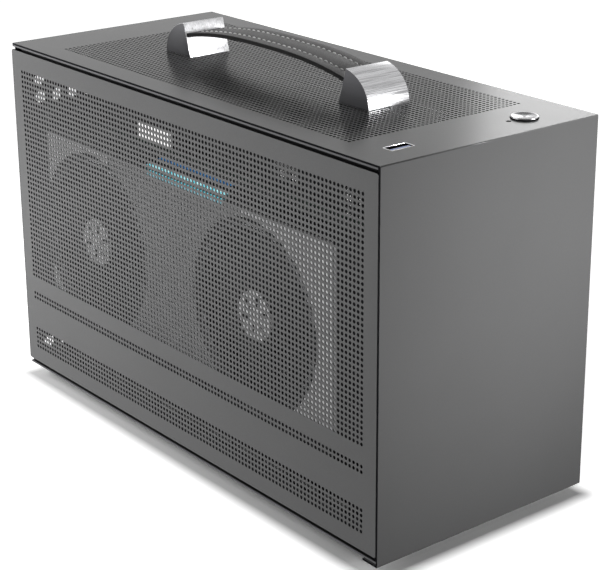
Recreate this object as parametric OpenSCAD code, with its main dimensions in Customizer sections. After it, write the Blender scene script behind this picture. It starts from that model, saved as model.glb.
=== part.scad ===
// Small computer case with a carrying handle, in millimetres.
// X runs from the rear to the plain front, Y runs across, Z rises from the surface it stands on.

/* [Case] */
// Length from the rear to the front face
case_l = 360; // [345:1:420]
// Width over both side panels
case_w = 156.4; // [152:0.2:190]
// Height of the folded cover, without the feet
case_h = 222.5; // [215:0.5:260]
// Thickness of the folded cover sheet
cover_t = 1.2; // [1:0.1:1.6]
// Inside radius of the cover's folds
fold_r = 0.8; // [0.6:0.1:3]
// Length of the return under the front
return_l = 12; // [9:0.5:16]
// Thickness of the inner frame's sheets
frame_t = 1; // [0.8:0.1:1.4]

/* [Side panels] */
// Thickness of a side panel
panel_t = 1.2; // [0.8:0.1:1.6]
// Gap between the cover's frame and a panel's upper edge
panel_gap = 1.7; // [1:0.1:3]
// Pitch of the fine perforation
perf_pitch = 3.2; // [2.8:0.1:4]
// Fine holes along one side of the square that each drawn hole stands for
perf_group = 4; // [3:1:8]
// Diameter of a drawn hole in a side panel
perf_d = 8; // [4:0.5:9]
// Pitch of the top's fine perforation
top_pitch = 3; // [2.6:0.1:3.6]
// Diameter of a drawn hole in the top
top_d = 7.5; // [4:0.5:8]
// Diameter of a panel's ball stud
stud_d = 5; // [4:0.2:6]

/* [Handle] */
// Distance between the blocks' inner feet
handle_span = 143.2; // [120:0.2:150]
// Length of a block's foot
block_l = 25.8; // [22:0.2:32]
// Width of the blocks
block_w = 30; // [24:0.5:36]
// Height of the blocks
block_h = 20.7; // [18:0.1:26]
// Lean of a block's inner face, top against foot
block_lean = 5.7; // [3:0.1:7]
// Width of the strap
strap_w = 28; // [20:0.5:28]
// Thickness of the strap
strap_t = 2.4; // [2:0.1:3]
// Height of the strap's underside at the blocks
strap_low = 12.2; // [10:0.1:13]
// Height of the strap's underside at mid span
strap_mid = 18.6; // [14:0.1:24]

/* [Controls] */
// Distance of the controls from the front face
ctrl_inset = 20.8; // [18:0.1:26]
// Diameter of the power button
button_d = 15.5; // [12:0.1:17]
// Height of the button above the top
button_rise = 1.2; // [0.8:0.1:2]
// Travel of the button
button_travel = 1; // [0.5:0.1:1.2]
// Sideways place of the power button
button_y = 42.3; // [36:0.1:46]
// Diameter of the status light
light_d = 2.2; // [1.6:0.1:3]
// Sideways place of the status light
light_y = 30.3; // [24:0.1:30.5]
// Sideways place of the socket
usb_y = -48.1; // [-54:0.1:-40]

/* [Feet] */
// Height of the feet below the cover
foot_h = 7; // [4:0.5:10]
// Diameter of a foot
foot_d = 22; // [16:0.5:24]
// Distance of a foot's axis from the case's end
foot_inset = 19.5; // [18:0.5:30]
// Distance of a foot's axis from the middle plane
foot_y = 51; // [44:0.5:56]

/* [Inside] */
// Place of the middle tray's far face
tray_y = -8; // [-10:0.5:-6]
// Height of the board's stand-offs
standoff_h = 6.5; // [5:0.1:8]
// Height of the board bay's lower edge above the surface
board_z = 40; // [38:0.5:44]
// Place of the power supply's bracket
psu_x = 40; // [30:1:60]

/* [Graphics card] */
// Gap between a side panel and the card's shroud
card_gap = 6.8; // [5:0.1:8]
// Gap between the rear wall and the shroud
rear_gap = 3.5; // [3:0.1:4]
// Distance of the shroud's end from the front face
card_inset = 47; // [45:0.5:60]
// Height of the shroud
shroud_h = 123.3; // [121:0.1:126]
// Depth of the shroud
shroud_d = 40; // [38:0.5:42]
// Diameter of a fan opening
fan_d = 105.6; // [100:0.2:106]
// Distance of a fan's axis from the shroud's end
fan_inset = 71.2; // [66:0.2:72]
// Number of blades on a fan
blades = 11; // [7:1:13]

/* [Hidden] */
eps = 0.01;
$fn = 48;

xf = case_l / 2 + 0.5;
xr = xf - case_l;
yw = case_w / 2;
zb = foot_h;
zt = foot_h + case_h;
fold_o = fold_r + cover_t;
// inner frame
z_base = zb + 2.2;
z_floor = z_base + frame_t;
z_roof = zt - cover_t;
z_ceil = z_roof - frame_t;
x_back = xr + 0.5;
x_in = x_back + frame_t;
x_fore = xf - cover_t;
x_out = x_fore - frame_t;
flange_y = yw - panel_t - 3;
flange_h = 14;
inner_h = z_ceil - z_floor;
// side panels
panel_x0 = xr - 1;
panel_x1 = x_fore - 0.4;
panel_l = panel_x1 - panel_x0;
panel_z0 = zb + 5.2;
panel_z1 = z_ceil - panel_gap;
panel_h = panel_z1 - panel_z0;
group = perf_pitch * perf_group;
cols = floor((panel_l - 24) / group);
main_z1 = panel_z1 - 11.7;
rows = floor((main_z1 - panel_z0 - 60.8) / group + 0.02);
band_z = panel_z0 + 48.1;
low_z = panel_z0 + 17.7;
// clips and studs
clip_x = [xr + 24, xf - 40];
clip_z = [z_floor + 6.5, z_ceil - 6.5];
ball_y = flange_y - 3;
// handle
block_x = handle_span / 2;
block_mid = block_x + block_lean + (block_l - block_lean) / 2 - 1;
// top perforation
top_group = top_pitch * 4;
top_cols = floor((case_l - 82) / top_group);
top_rows = floor((case_w - 33) / top_group);
ctrl_x = xf - ctrl_inset;
// button
cap_gap = 0.3;
house_d = button_d + 6;
house_h = 9.5;
io_z = z_roof - 15.3;
io_half = 9;
io_t = 1.6;
// board
hole_x = [x_in + 11.7, x_in + 11.7 + 154.94];
hole_z = [board_z + 6.35, board_z + 6.35 + 157.48];
// graphics card
card_y0 = -(yw - panel_t - card_gap);
card_z0 = zb + 44;
card_x1 = xf - card_inset;
card_x0 = x_in + rear_gap;
shroud_l = card_x1 - card_x0;
fan_z = card_z0 + shroud_h / 2;
fan_x1 = card_x1 - fan_inset;
fan_x0 = card_x0 + fan_inset;
pcb_y = card_y0 + shroud_d;
face_t = 3;
shroud_t = 2;
rotor_r = fan_d / 2 - 1.6;
slot_y = [card_y0 + 12.4, card_y0 + 32.7];
slot_z0 = card_z0 + shroud_h - 113.3;

// A block between two corners
module box(a, b) {
  translate(a)
    cube(b - a);
}

// A rectangle with rounded corners, lower left corner at the origin
module rrect(w, h, r) {
  translate([r, 0])
    square([w - 2 * r, h]);
  translate([0, r])
    square([w, h - 2 * r]);
  for (x = [r, w - r])
    for (y = [r, h - r])
      translate([x, y])
        circle(r);
}

// Turns a profile drawn in X and Z into a slab across Y, centred on y
module across(y, w) {
  translate([0, y + w / 2, 0])
    rotate([90, 0, 0])
      linear_extrude(w)
        children();
}

// Turns a profile drawn in Y and Z into a slab along X that starts at x
module along(x, w) {
  translate([x, 0, 0])
    rotate([90, 0, 90])
      linear_extrude(w)
        children();
}

// One quarter of a fold in the cover
module fold(x, z, turn) {
  translate([x, z])
    rotate(turn)
      intersection() {
        difference() {
          circle(fold_o);
          circle(fold_r);
        }
        square(fold_o);
      }
}

// Drawn holes of the top field, left out where a handle block stands
module top_holes() {
  for (i = [0:top_cols - 1])
    for (j = [0:top_rows - 1]) {
      x = -3.1 + (i - (top_cols - 1) / 2) * top_group;
      y = (j - (top_rows - 1) / 2) * top_group;
      under = abs(abs(x) - block_x - block_l / 2) < block_l / 2 + top_d / 2 + 1
        && abs(y) < block_w / 2 + top_d / 2 + 1;
      if (!under)
        translate([x, y])
          circle(d = top_d);
    }
}

// Folded sheet that makes the top, the front and a return below
module outer_cover() {
  color("#55585c")
  difference() {
    across(0, case_w) {
      translate([xr + 0.5, z_roof])
        square([case_l - 0.5 - fold_o, cover_t]);
      fold(xf - fold_o, zt - fold_o, 0);
      translate([x_fore, zb + fold_o])
        square([cover_t, case_h - 2 * fold_o]);
      fold(xf - fold_o, zb + fold_o, -90);
      translate([xf - return_l, zb])
        square([return_l - fold_o, cover_t]);
    }
    translate([0, 0, z_roof - 1]) {
      linear_extrude(cover_t + 2)
        top_holes();
      translate([ctrl_x, button_y, 0])
        cylinder(d = button_d + 2 * cap_gap, h = cover_t + 2);
      translate([ctrl_x, light_y, 0])
        cylinder(d = light_d + 0.1, h = cover_t + 2);
      translate([ctrl_x - 3.8, usb_y - 8, 0])
        cube([7.6, 16, cover_t + 2]);
      for (s = [-1, 1])
        for (y = [-8, 8])
          translate([s * block_mid, y, 0])
            cylinder(d = 4.4, h = cover_t + 2);
    }
    for (y = [-foot_y, foot_y])
      translate([xf - foot_inset, y, zb - 1])
        cylinder(d = foot_d + 2, h = cover_t + 2);
  }
}

// Holes in an upright flange for the ball studs
module stud_holes(d, y0, y1) {
  for (s = [-1, 1])
    for (x = clip_x)
      for (z = clip_z)
        translate([x, s * (y0 + y1) / 2, z])
          rotate([90, 0, 0])
            cylinder(d = d, h = y1 - y0, center = true);
}

// Floor with flanges up its sides, vents and foot holes
module base_plate() {
  color("#3c3e41")
  difference() {
    union() {
      box([x_back, -yw, z_base], [x_fore, yw, z_floor]);
      for (s = [-1, 1])
        translate([x_in, s * (flange_y - frame_t / 2) - frame_t / 2, z_floor - eps])
          cube([x_out - x_in, frame_t, flange_h]);
    }
    for (s = [-1, 1])
      for (i = [-4:4])
        translate([i * 28 - 11, s * foot_y - 9, z_base - 1])
          linear_extrude(frame_t + 2)
            for (k = [0:2])
              translate([0, k * 8])
                rrect(22, 3.4, 1.6);
    for (x = [xr + foot_inset, xf - foot_inset])
      for (y = [-foot_y, foot_y])
        translate([x, y, z_base - 1])
          cylinder(d = 3.2, h = frame_t + 2);
    stud_holes(stud_d + 1, flange_y - frame_t - 1, flange_y + 1);
  }
}

// Ring under the cover, with two beams that carry the handle
module top_frame() {
  color("#6a6d70")
  difference() {
    union() {
      box([x_back, -yw, z_ceil], [x_fore - fold_r, yw, z_roof]);
      for (s = [-1, 1])
        translate([x_in, s * (flange_y - frame_t / 2) - frame_t / 2, z_ceil - flange_h])
          cube([x_out - x_in, frame_t, flange_h + eps]);
    }
    hole_y = yw - 14;
    for (p = [[xr + 30, -block_x - block_l], [-block_x + 1, block_x - 1],
        [block_x + block_l, xf - 42]])
      box([p[0], -hole_y, z_ceil - 1], [p[1], hole_y, z_roof + 1]);
    translate([ctrl_x, button_y, z_ceil - 1])
      cylinder(d = house_d + 0.4, h = frame_t + 2);
    translate([ctrl_x, light_y, z_ceil - 1])
      cylinder(d = light_d + 0.6, h = frame_t + 2);
    box([ctrl_x - 4.2, usb_y - 8.4, z_ceil - 1], [ctrl_x + 4.2, usb_y + 8.4, z_roof + 1]);
    for (s = [-1, 1])
      for (y = [-8, 8])
        translate([s * block_mid, y, z_ceil - 1])
          cylinder(d = 4.4, h = frame_t + 2);
    stud_holes(stud_d + 1, flange_y - frame_t - 1, flange_y + 1);
  }
}

// Rear wall with the board's opening, two card slots, the inlet's cut-out and vents
module rear_panel() {
  color("#3c3e41")
  along(x_back, frame_t)
    difference() {
      translate([-(yw - panel_t - 0.4), z_floor])
        square([2 * (yw - panel_t - 0.4), inner_h]);
      translate([tray_y + 4, board_z + 5.6])
        square([44.6, 158.8]);
      for (y = slot_y)
        translate([y - 7, slot_z0])
          rrect(14, 104, 1.5);
      translate([26.5, z_floor + 5.5])
        rrect(27.4, 20, 2);
      for (i = [0:3])
        for (j = [0:2])
          translate([card_y0 + 10 + i * 12, z_ceil - 12 - j * 12])
            circle(d = 8);
      for (j = [0:1])
        for (i = [0:4])
          translate([card_y0 + 6 + i * 12, z_floor + 10 + j * 12])
            circle(d = 8);
    }
  color("#3c3e41")
  difference() {
    box([x_in - eps, card_y0 + 4, slot_z0 + 115], [x_in + 11, card_y0 + shroud_d + 3,
      slot_z0 + 115 + frame_t]);
    card_screw_holes();
  }
}

// Holes of the card's two screws
module card_screw_holes() {
  for (y = slot_y)
    translate([x_in + 6, y, slot_z0 + 110])
      cylinder(d = 3.2, h = 12);
}

// Plain inner wall behind the cover's front
module front_panel() {
  color("#3c3e41")
  along(x_out, frame_t)
    difference() {
      translate([-(yw - panel_t - 0.4), z_floor])
        square([2 * (yw - panel_t - 0.4), inner_h]);
      for (i = [0:7])
        for (y = [tray_y - 44, tray_y + 20])
          translate([y, z_floor + 24 + i * 21])
            rrect(30, 6.4, 3);
    }
}

// Notches in the tray for a beam under a handle block
module beam_notches() {
  for (s = [-1, 1])
    translate([s * block_mid - 5, z_ceil - 4])
      square([10, 5]);
}

// Upright sheet that parts the card's bay from the board's bay
module tray() {
  color("#3c3e41")
  across(tray_y - frame_t / 2, frame_t)
    difference() {
      translate([x_in, z_floor])
        square([psu_x - x_in, inner_h]);
      translate([x_in + 34, board_z + 42])
        square([100, 92]);
      for (z = [board_z + 8, board_z + 130])
        translate([psu_x - 36, z])
          square([22, 40]);
      translate([x_in + 52, z_floor + 8])
        square([100, 18]);
      beam_notches();
    }
}

// Slotted sheet that carries the tray on beside the power supply
module tray_front() {
  color("#3c3e41")
  across(tray_y - frame_t / 2, frame_t)
    difference() {
      translate([psu_x, z_floor])
        square([x_out - psu_x, inner_h]);
      for (i = [0:3])
        translate([psu_x + 30 + i * 26, board_z + 16])
          square([14, 130]);
      beam_notches();
      translate([ctrl_x - io_half - 0.5, io_z - io_t - 0.5])
        square([2 * io_half + 1, z_ceil - io_z + io_t + 1]);
    }
}

// Hexagonal stand-offs of the main board
module standoffs() {
  color("#b59a5b")
  for (x = hole_x)
    for (z = hole_z)
      translate([x, tray_y, z])
        rotate([-90, 0, 0])
          difference() {
            cylinder(d = 6, h = standoff_h, $fn = 6);
            translate([0, 0, 1])
              cylinder(d = 2.5, h = standoff_h);
          }
}

// Folded bracket that takes the power supply's face
module psu_bracket() {
  color("#3c3e41") {
    along(psu_x, 1.2)
      difference() {
        translate([tray_y, board_z + 16])
          rrect(72, 134, 3);
        translate([tray_y + 12, board_z + 30])
          rrect(50, 106, 4);
        for (y = [tray_y + 6.5, tray_y + 66])
          for (z = [board_z + 24, board_z + 142])
            translate([y, z])
              circle(d = 3.6);
      }
    for (z = [board_z + 20, board_z + 126])
      box([psu_x + 1.2, tray_y, z], [psu_x + 15, tray_y + 1.2, z + 20]);
  }
}

// Recessed inlet of the power supply in the rear wall
module power_inlet() {
  color("#1a1a1c")
  translate([x_back, 26.5, z_floor + 5.5])
    rotate([90, 0, 90]) {
      difference() {
        union() {
          translate([-2.3, -2, -1.5])
            linear_extrude(1.5)
              rrect(32, 24, 3);
          translate([0.2, 0.2, -eps])
            linear_extrude(18)
              rrect(27, 19.6, 2);
        }
        translate([2, 2, -3])
          linear_extrude(17)
            rrect(23.4, 16, 3);
      }
      for (p = [[6.7, 8], [20.7, 8], [13.7, 11.5]])
        translate([p[0] - 1, p[1] - 2, 10])
          cube([2, 4, 6]);
    }
}

// Perforated sheet, drawn in X and Z
module panel_sheet() {
  difference() {
    translate([panel_x0, panel_z0])
      square([panel_l, panel_h]);
    for (i = [0:cols - 1]) {
      x = (panel_x0 + panel_x1) / 2 + (i - (cols - 1) / 2) * group;
      for (j = [0:rows - 1])
        translate([x, main_z1 - (j + 0.5) * group])
          circle(d = perf_d);
      translate([x, low_z])
        circle(d = perf_d);
      for (k = [-1, 1])
        translate([x + k * group / 4, band_z])
          circle(d = perf_d / 2);
    }
  }
}

module side_panel_near() {
  color("#5d6064")
  across(-yw + panel_t / 2, panel_t)
    panel_sheet();
}

module side_panel_far() {
  color("#5d6064")
  across(yw - panel_t / 2, panel_t)
    panel_sheet();
}

// Ball studs that hold a panel in the frame's clips
module studs(s) {
  color("#c8cacc")
  for (x = clip_x)
    for (z = clip_z)
      translate([x, s * ball_y, z])
        rotate([-90 * s, 0, 0]) {
          cylinder(d = stud_d - 2, h = yw - panel_t - ball_y);
          translate([0, 0, yw - panel_t - ball_y - 0.8])
            cylinder(d = stud_d + 2, h = 0.8);
          sphere(d = stud_d);
        }
}

module studs_near() {
  studs(-1);
}

module studs_far() {
  studs(1);
}

// Sockets behind the flanges that grip the ball studs
module panel_clips() {
  color("#1f1f21")
  difference() {
    for (s = [-1, 1])
      for (x = clip_x)
        for (z = clip_z)
          translate([x - 5, s * (flange_y - frame_t - 3) - 3, z - 4.5])
            cube([10, 6, 9]);
    stud_holes(stud_d + 0.16, flange_y - frame_t - 7, flange_y);
    for (s = [-1, 1])
      for (x = clip_x)
        for (z = clip_z)
          translate([x, s * (flange_y - frame_t - 4.5), z])
            cube([12, 3.2, 1.2], center = true);
  }
}

// Side outline of a block: inner face leans out, outer face is a quarter of a round
module block_profile() {
  n = 20;
  a = block_l;
  b = block_h * 1.025;
  k = block_lean / a;
  t0 = acos(k);
  polygon(concat([[0, 0]],
    [for (i = [0:n]) let (t = t0 * i / n)
      [a * pow(cos(t), 0.94), min(block_h, b * pow(sin(t), 0.94))]]));
}

// One end block of the handle with the slot that takes the strap
module handle_block(s) {
  color("#d9dadb")
  mirror([s < 0 ? 1 : 0, 0, 0])
    difference() {
      translate([block_x, 0, zt])
        across(0, block_w)
          block_profile();
      strap_solid(strap_w + 0.4, 0.15);
      for (y = [-8, 8])
        translate([block_mid, y, zt - 1])
          cylinder(d = 4.1, h = 9);
    }
}

module handle_block_front() {
  handle_block(1);
}

module handle_block_rear() {
  handle_block(-1);
}

// Arched strap, its ends inside the blocks
module strap_solid(w, g) {
  end_x = block_x + 11;
  rise = strap_mid - strap_low;
  n = 24;
  function under(x) = zt + strap_mid - rise * pow(abs(x) / (block_x + 3), 2.6);
  across(0, w)
    polygon(concat(
      [for (i = [-n:n]) [i / n * end_x, under(i / n * end_x) - g]],
      [for (i = [n:-1:-n]) [i / n * end_x, under(i / n * end_x) + strap_t + g]]));
}

module handle_strap() {
  color("#2e2d2d")
  strap_solid(strap_w, 0);
}

// Screws that hold the blocks from below
module handle_screws() {
  color("#9a9c9e")
  for (s = [-1, 1])
    for (y = [-8, 8])
      translate([s * block_mid, y, z_ceil]) {
        translate([0, 0, -2.6])
          difference() {
            cylinder(d = 7, h = 2.6);
            translate([0, 0, -1])
              cylinder(d = 2.9, h = 2.4, $fn = 6);
          }
        cylinder(d = 4, h = frame_t + cover_t + 7);
      }
}

// Round cap with a dished, turned face and a skirt that stops below the top
module power_button() {
  r = button_d / 2;
  h = cover_t + button_rise;
  color("#8f9194")
  translate([ctrl_x, button_y, z_roof])
    rotate_extrude()
      polygon([[0, -1.4], [r + 0.9, -1.4], [r + 0.9, -0.05], [r, -0.05], [r, h - 0.7],
        [r - 0.7, h], [r - 1.7, h], [r - 2.3, h - 0.35], [1.2, h - 0.75], [0, h - 0.8]]);
}

// Cup under the top that guides the button and holds its switch
module button_housing() {
  color("#1f1f21")
  translate([ctrl_x, button_y, z_roof - house_h])
    difference() {
      union() {
        cylinder(d = house_d, h = house_h);
        translate([0, 0, house_h - frame_t - 2])
          cylinder(d = house_d + 5, h = 2);
      }
      translate([0, 0, 5])
        cylinder(d = button_d + 2.5, h = house_h);
      translate([0, 0, -1])
        cylinder(d = 5, h = house_h);
      translate([0, light_y - button_y, -1])
        cylinder(d = light_d + 0.8, h = house_h + 2);
    }
}

// Light guide from the board up to the top face
module status_light() {
  color("#111214")
  translate([ctrl_x, light_y, io_z])
    cylinder(d = light_d, h = zt - io_z);
}

// Metal shell of the socket
module usb_shell() {
  color("#cfd1d4")
  translate([ctrl_x, usb_y, io_z])
    difference() {
      union() {
        translate([-3.6, -7.8, 0])
          cube([7.2, 15.6, zt - io_z]);
        translate([-3.8, -8, zt - io_z - cover_t])
          cube([7.6, 16, cover_t + 0.25]);
      }
      translate([-2.8, -6.6, 1.2])
        cube([5.6, 13.2, zt - io_z]);
    }
}

// Tongue of the socket
module usb_tongue() {
  color("#2c5fb4")
  translate([ctrl_x + 0.4, usb_y - 5.7, io_z + 1.2])
    cube([2, 11.4, zt - io_z - 1.8]);
}

// Small board below the controls, hung on two spacers
module io_board() {
  color("#14321f") {
    box([ctrl_x - io_half, usb_y - 12, io_z - io_t], [ctrl_x + io_half, button_y + 12, io_z]);
    for (y = [usb_y + 24, light_y - 14])
      translate([ctrl_x, y, io_z - eps])
        cylinder(d = 5, h = z_ceil - io_z + eps);
    translate([ctrl_x - 4, button_y - 4, io_z - eps])
      cube([8, 8, 4]);
    translate([ctrl_x, button_y, io_z])
      cylinder(d = 4, h = z_roof - io_z - 1.4 - button_travel - 0.1);
  }
}

// Rubber foot with a recess for its screw
module foot(x, y) {
  r = foot_d / 2;
  color("#202022")
  translate([x, y, 0])
    rotate_extrude()
      polygon([[1.6, 3], [4, 3], [4, 0], [r - 2.2, 0], [r - 0.8, 0.7], [r, 2.2], [r, z_base],
        [1.6, z_base]]);
}

module foot_front_near() {
  foot(xf - foot_inset, -foot_y);
}

module foot_front_far() {
  foot(xf - foot_inset, foot_y);
}

module foot_rear_near() {
  foot(xr + foot_inset, -foot_y);
}

module foot_rear_far() {
  foot(xr + foot_inset, foot_y);
}

// Screws that hold the feet
module foot_screws() {
  color("#9a9c9e")
  for (x = [xr + foot_inset, xf - foot_inset])
    for (y = [-foot_y, foot_y])
      translate([x, y, 1]) {
        cylinder(d = 6, h = 2);
        cylinder(d = 3, h = z_floor + 3);
      }
}

// Two fan openings, drawn in X and Z
module fan_places() {
  for (x = [fan_x0, fan_x1])
    translate([x, 0, fan_z])
      rotate([90, 0, 0])
        children();
}

// Face of the card's cooler with two dished fan openings and a lower middle
module card_shroud() {
  color("#d4d6d8")
  difference() {
    across(card_y0 + face_t / 2, face_t)
      translate([card_x0, card_z0])
        rrect(shroud_l, shroud_h, 5);
    fan_places() {
      translate([0, 0, -card_y0 - 10])
        cylinder(d = fan_d, h = 20);
      translate([0, 0, -card_y0 - 2.4 - eps])
        cylinder(d1 = fan_d, d2 = fan_d + 10, h = 2.5);
    }
    box([fan_x0 + 20, card_y0 - 1, card_z0 - 1],
      [fan_x1 - 10, card_y0 + 0.6, card_z0 + shroud_h + 1]);
    box([fan_x0 + 40, card_y0 - 1, card_z0 + 22],
      [fan_x1 - 40, card_y0 + 1.6, card_z0 + 24]);
  }
}

// Walls behind the face, cut back above and below so that the fins can breathe
module card_shroud_walls() {
  color("#bfc2c5")
  difference() {
    across(card_y0 + (face_t + shroud_d) / 2, shroud_d - face_t)
      difference() {
        translate([card_x0, card_z0])
          rrect(shroud_l, shroud_h, 5);
        translate([card_x0 + shroud_t, card_z0 + shroud_t])
          rrect(shroud_l - 2 * shroud_t, shroud_h - 2 * shroud_t, 3);
      }
    box([card_x0 + 10, card_y0 + 22, card_z0 - 1],
      [card_x1 - 10, pcb_y + 1, card_z0 + shroud_h + 1]);
    box([card_x0 - 1, pcb_y - 8, slot_z0 + 10],
      [card_x0 + shroud_t + 1, pcb_y + 1, slot_z0 + 96]);
  }
}

// Collars round the fan wheels with three arms that carry each motor
module card_fan_mounts() {
  color("#1c1c1e")
  fan_places()
    translate([0, 0, -card_y0 - 17]) {
      difference() {
        union() {
          cylinder(d = 32, h = 3);
          for (a = [30, 150, 270])
            rotate(a)
              translate([14, -2, 0])
                cube([fan_d / 2 - 13, 4, 3]);
        }
        translate([0, 0, -1])
          cylinder(d = 4.1, h = 6);
      }
      difference() {
        cylinder(d = fan_d + 3, h = 17 - face_t);
        translate([0, 0, -1])
          cylinder(d = fan_d, h = 19);
      }
    }
}

// One fan wheel: hub with a shaft, swept blades and an outer ring
module fan_wheel(x) {
  color("#1c1c1e")
  translate([x, 0, fan_z])
    rotate([90, 0, 0])
      translate([0, 0, -card_y0 - 13]) {
        cylinder(d = 32, h = 10.5);
        translate([0, 0, 10.5 - eps])
          cylinder(d1 = 31, d2 = 25, h = 1);
        translate([0, 0, -4.6])
          cylinder(d = 4, h = 5);
        difference() {
          cylinder(r = rotor_r, h = 9.6);
          translate([0, 0, -1])
            cylinder(r = rotor_r - 1.2, h = 12);
        }
        intersection() {
          translate([0, 0, 0.2])
            cylinder(r = rotor_r - 0.6, h = 9.2);
          for (i = [0:blades - 1])
            rotate(i * 360 / blades)
              translate([14, 0, 4.8])
                rotate([38, 0, 0])
                  translate([0, 0, -0.6])
                    linear_extrude(1.3)
                      blade_outline();
        }
      }
}

// Swept outline of one blade, root at the origin
module blade_outline() {
  s = rotor_r - 14;
  polygon([[0, -6], [s * 0.35, -7.6], [s * 0.7, -7], [s, -4.4], [s, 7], [s * 0.7, 6.4],
    [s * 0.35, 6], [0, 5]]);
}

module card_fan_front() {
  fan_wheel(fan_x1);
}

module card_fan_rear() {
  fan_wheel(fan_x0);
}

// Heatsink's base, which lies on the card's board
module card_heatsink() {
  color("#8a8d90")
  translate([card_x0 + 17, pcb_y - 4, card_z0 + 5])
    cube([shroud_l - 24, 4, shroud_h - 10]);
}

// Upright fins behind the fans, each a plate of its own on the heatsink's base
module card_fins() {
  x0 = card_x0 + 17;
  l = shroud_l - 24;
  n = 26;
  color("#8a8d90")
  for (i = [0:n - 1])
    translate([x0 + i * (l - 1.2) / (n - 1), card_y0 + 19, card_z0 + 5])
      cube([1.2, pcb_y - 4 - card_y0 - 19, shroud_h - 10]);
}

// Card's board with its edge contacts and the sockets at the bracket
module card_board() {
  color("#14321f") {
    across(pcb_y + 0.8, 1.6)
      difference() {
        union() {
          translate([x_in + 1.2, card_z0 + 1])
            square([card_x1 - 2.2 - x_in, shroud_h - 2]);
          translate([x_in + 45, card_z0 - 4])
            square([89, 11]);
        }
        translate([x_in + 58.6, card_z0 - 5])
          square([1.8, 8]);
      }
    for (i = [0:3])
      box([x_in + 1, pcb_y - 7, slot_z0 + 12 + i * 22],
        [x_in + 18, pcb_y + 0.4, slot_z0 + 28 + i * 22]);
  }
}

// Stiffening plate behind the card's board
module card_backplate() {
  color("#2a2b2d")
  across(pcb_y + 1.6 + 0.6, 1.2)
    difference() {
      translate([card_x0, card_z0 + 6])
        rrect(shroud_l - 4, shroud_h - 8, 4);
      for (i = [0:5])
        translate([card_x1 - 84 + i * 11, card_z0 + 20])
          rrect(5, shroud_h - 40, 2.4);
    }
}

// Lit strip on the card's upper edge
module card_light_bar() {
  color("#7fd6de")
  box([card_x1 - 183, card_y0 + 5, card_z0 + shroud_h], [card_x1 - 107, card_y0 + 11,
    card_z0 + shroud_h + 1.2]);
}

// Two-slot bracket of the card with windows for its sockets
module card_bracket() {
  color("#b9bbbd") {
    along(x_in, 1)
      difference() {
        translate([card_y0 + 4, slot_z0 - 6])
          rrect(shroud_d - 1, 120, 1);
        for (i = [0:3])
          translate([pcb_y - 6.8, slot_z0 + 12.2 + i * 22])
            square([6, 15.6]);
        for (i = [0:4])
          translate([card_y0 + 8, slot_z0 + 8 + i * 19])
            rrect(18, 11, 2);
      }
    difference() {
      box([x_in, card_y0 + 4, slot_z0 + 114 - eps], [x_in + 11, card_y0 + shroud_d + 3,
        slot_z0 + 115]);
      card_screw_holes();
    }
  }
}

// Screws that hold the card's bracket to a ledge of the rear wall
module card_screws() {
  color("#9a9c9e") {
    for (y = slot_y)
      translate([x_in + 6, y, slot_z0 + 115 + frame_t]) {
        difference() {
          cylinder(d = 7, h = 5);
          translate([0, 0, 3.4])
            cylinder(d = 3.2, h = 3, $fn = 6);
        }
        translate([0, 0, -frame_t - 1.2])
          cylinder(d = 3, h = frame_t + 2);
      }
  }
}

// Socket under the card's contacts on a bracket that stands on the floor
module riser_socket() {
  color("#1f1f21")
  difference() {
    union() {
      box([x_in + 43, pcb_y - 3.2, card_z0 - 12], [x_in + 136, pcb_y + 4.8, card_z0 - 1]);
      box([x_in + 50, pcb_y + 0.2, z_floor], [x_in + 130, pcb_y + 1.4, card_z0 - 11]);
      box([x_in + 50, pcb_y - 9, z_floor], [x_in + 130, pcb_y + 1.4, z_floor + 1.2]);
    }
    box([x_in + 44.8, pcb_y - 0.1, card_z0 - 4.2], [x_in + 134.2, pcb_y + 1.7, card_z0]);
  }
}

outer_cover();
base_plate();
top_frame();
rear_panel();
front_panel();
tray();
tray_front();
standoffs();
psu_bracket();
power_inlet();
side_panel_near();
side_panel_far();
studs_near();
studs_far();
panel_clips();
handle_block_front();
handle_block_rear();
handle_strap();
handle_screws();
power_button();
button_housing();
status_light();
usb_shell();
usb_tongue();
io_board();
foot_front_near();
foot_front_far();
foot_rear_near();
foot_rear_far();
foot_screws();
card_shroud();
card_shroud_walls();
card_fan_mounts();
card_fan_front();
card_fan_rear();
card_heatsink();
card_fins();
card_board();
card_backplate();
card_light_bar();
card_bracket();
card_screws();
riser_socket();
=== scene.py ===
"""Looks of a small computer case with a carrying handle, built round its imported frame.

Sizes inside the classes are in millimetres in the row frame: X runs towards the plain front,
-Y towards the perforated side that the camera sees, Z up from the surface. MM turns them into
Blender's metres. The constants after it are places and sizes that several sub-assemblies share.
"""

import logging
import math
from collections.abc import Callable, Sequence
from dataclasses import dataclass, field
from enum import Enum
from functools import partial

import bmesh
import bpy
from mathutils import Matrix, Vector
from mathutils.geometry import delaunay_2d_cdt


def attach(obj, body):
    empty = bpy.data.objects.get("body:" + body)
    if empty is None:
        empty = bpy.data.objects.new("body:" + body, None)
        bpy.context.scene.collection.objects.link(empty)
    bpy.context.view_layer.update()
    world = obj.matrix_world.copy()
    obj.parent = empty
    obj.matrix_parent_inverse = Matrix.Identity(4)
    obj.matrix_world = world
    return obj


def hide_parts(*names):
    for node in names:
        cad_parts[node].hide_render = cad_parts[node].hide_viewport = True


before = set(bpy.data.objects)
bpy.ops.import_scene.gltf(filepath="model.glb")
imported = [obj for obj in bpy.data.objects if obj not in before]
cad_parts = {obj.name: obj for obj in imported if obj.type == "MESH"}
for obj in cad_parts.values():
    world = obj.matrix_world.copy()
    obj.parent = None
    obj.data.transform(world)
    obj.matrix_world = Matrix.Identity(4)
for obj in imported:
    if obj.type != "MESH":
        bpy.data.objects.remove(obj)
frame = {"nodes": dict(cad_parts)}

MM = 0.001
TOP = 229.5  # outer face of the cover
SHEET = 1.2  # thickness of the cover and the side panels
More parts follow.
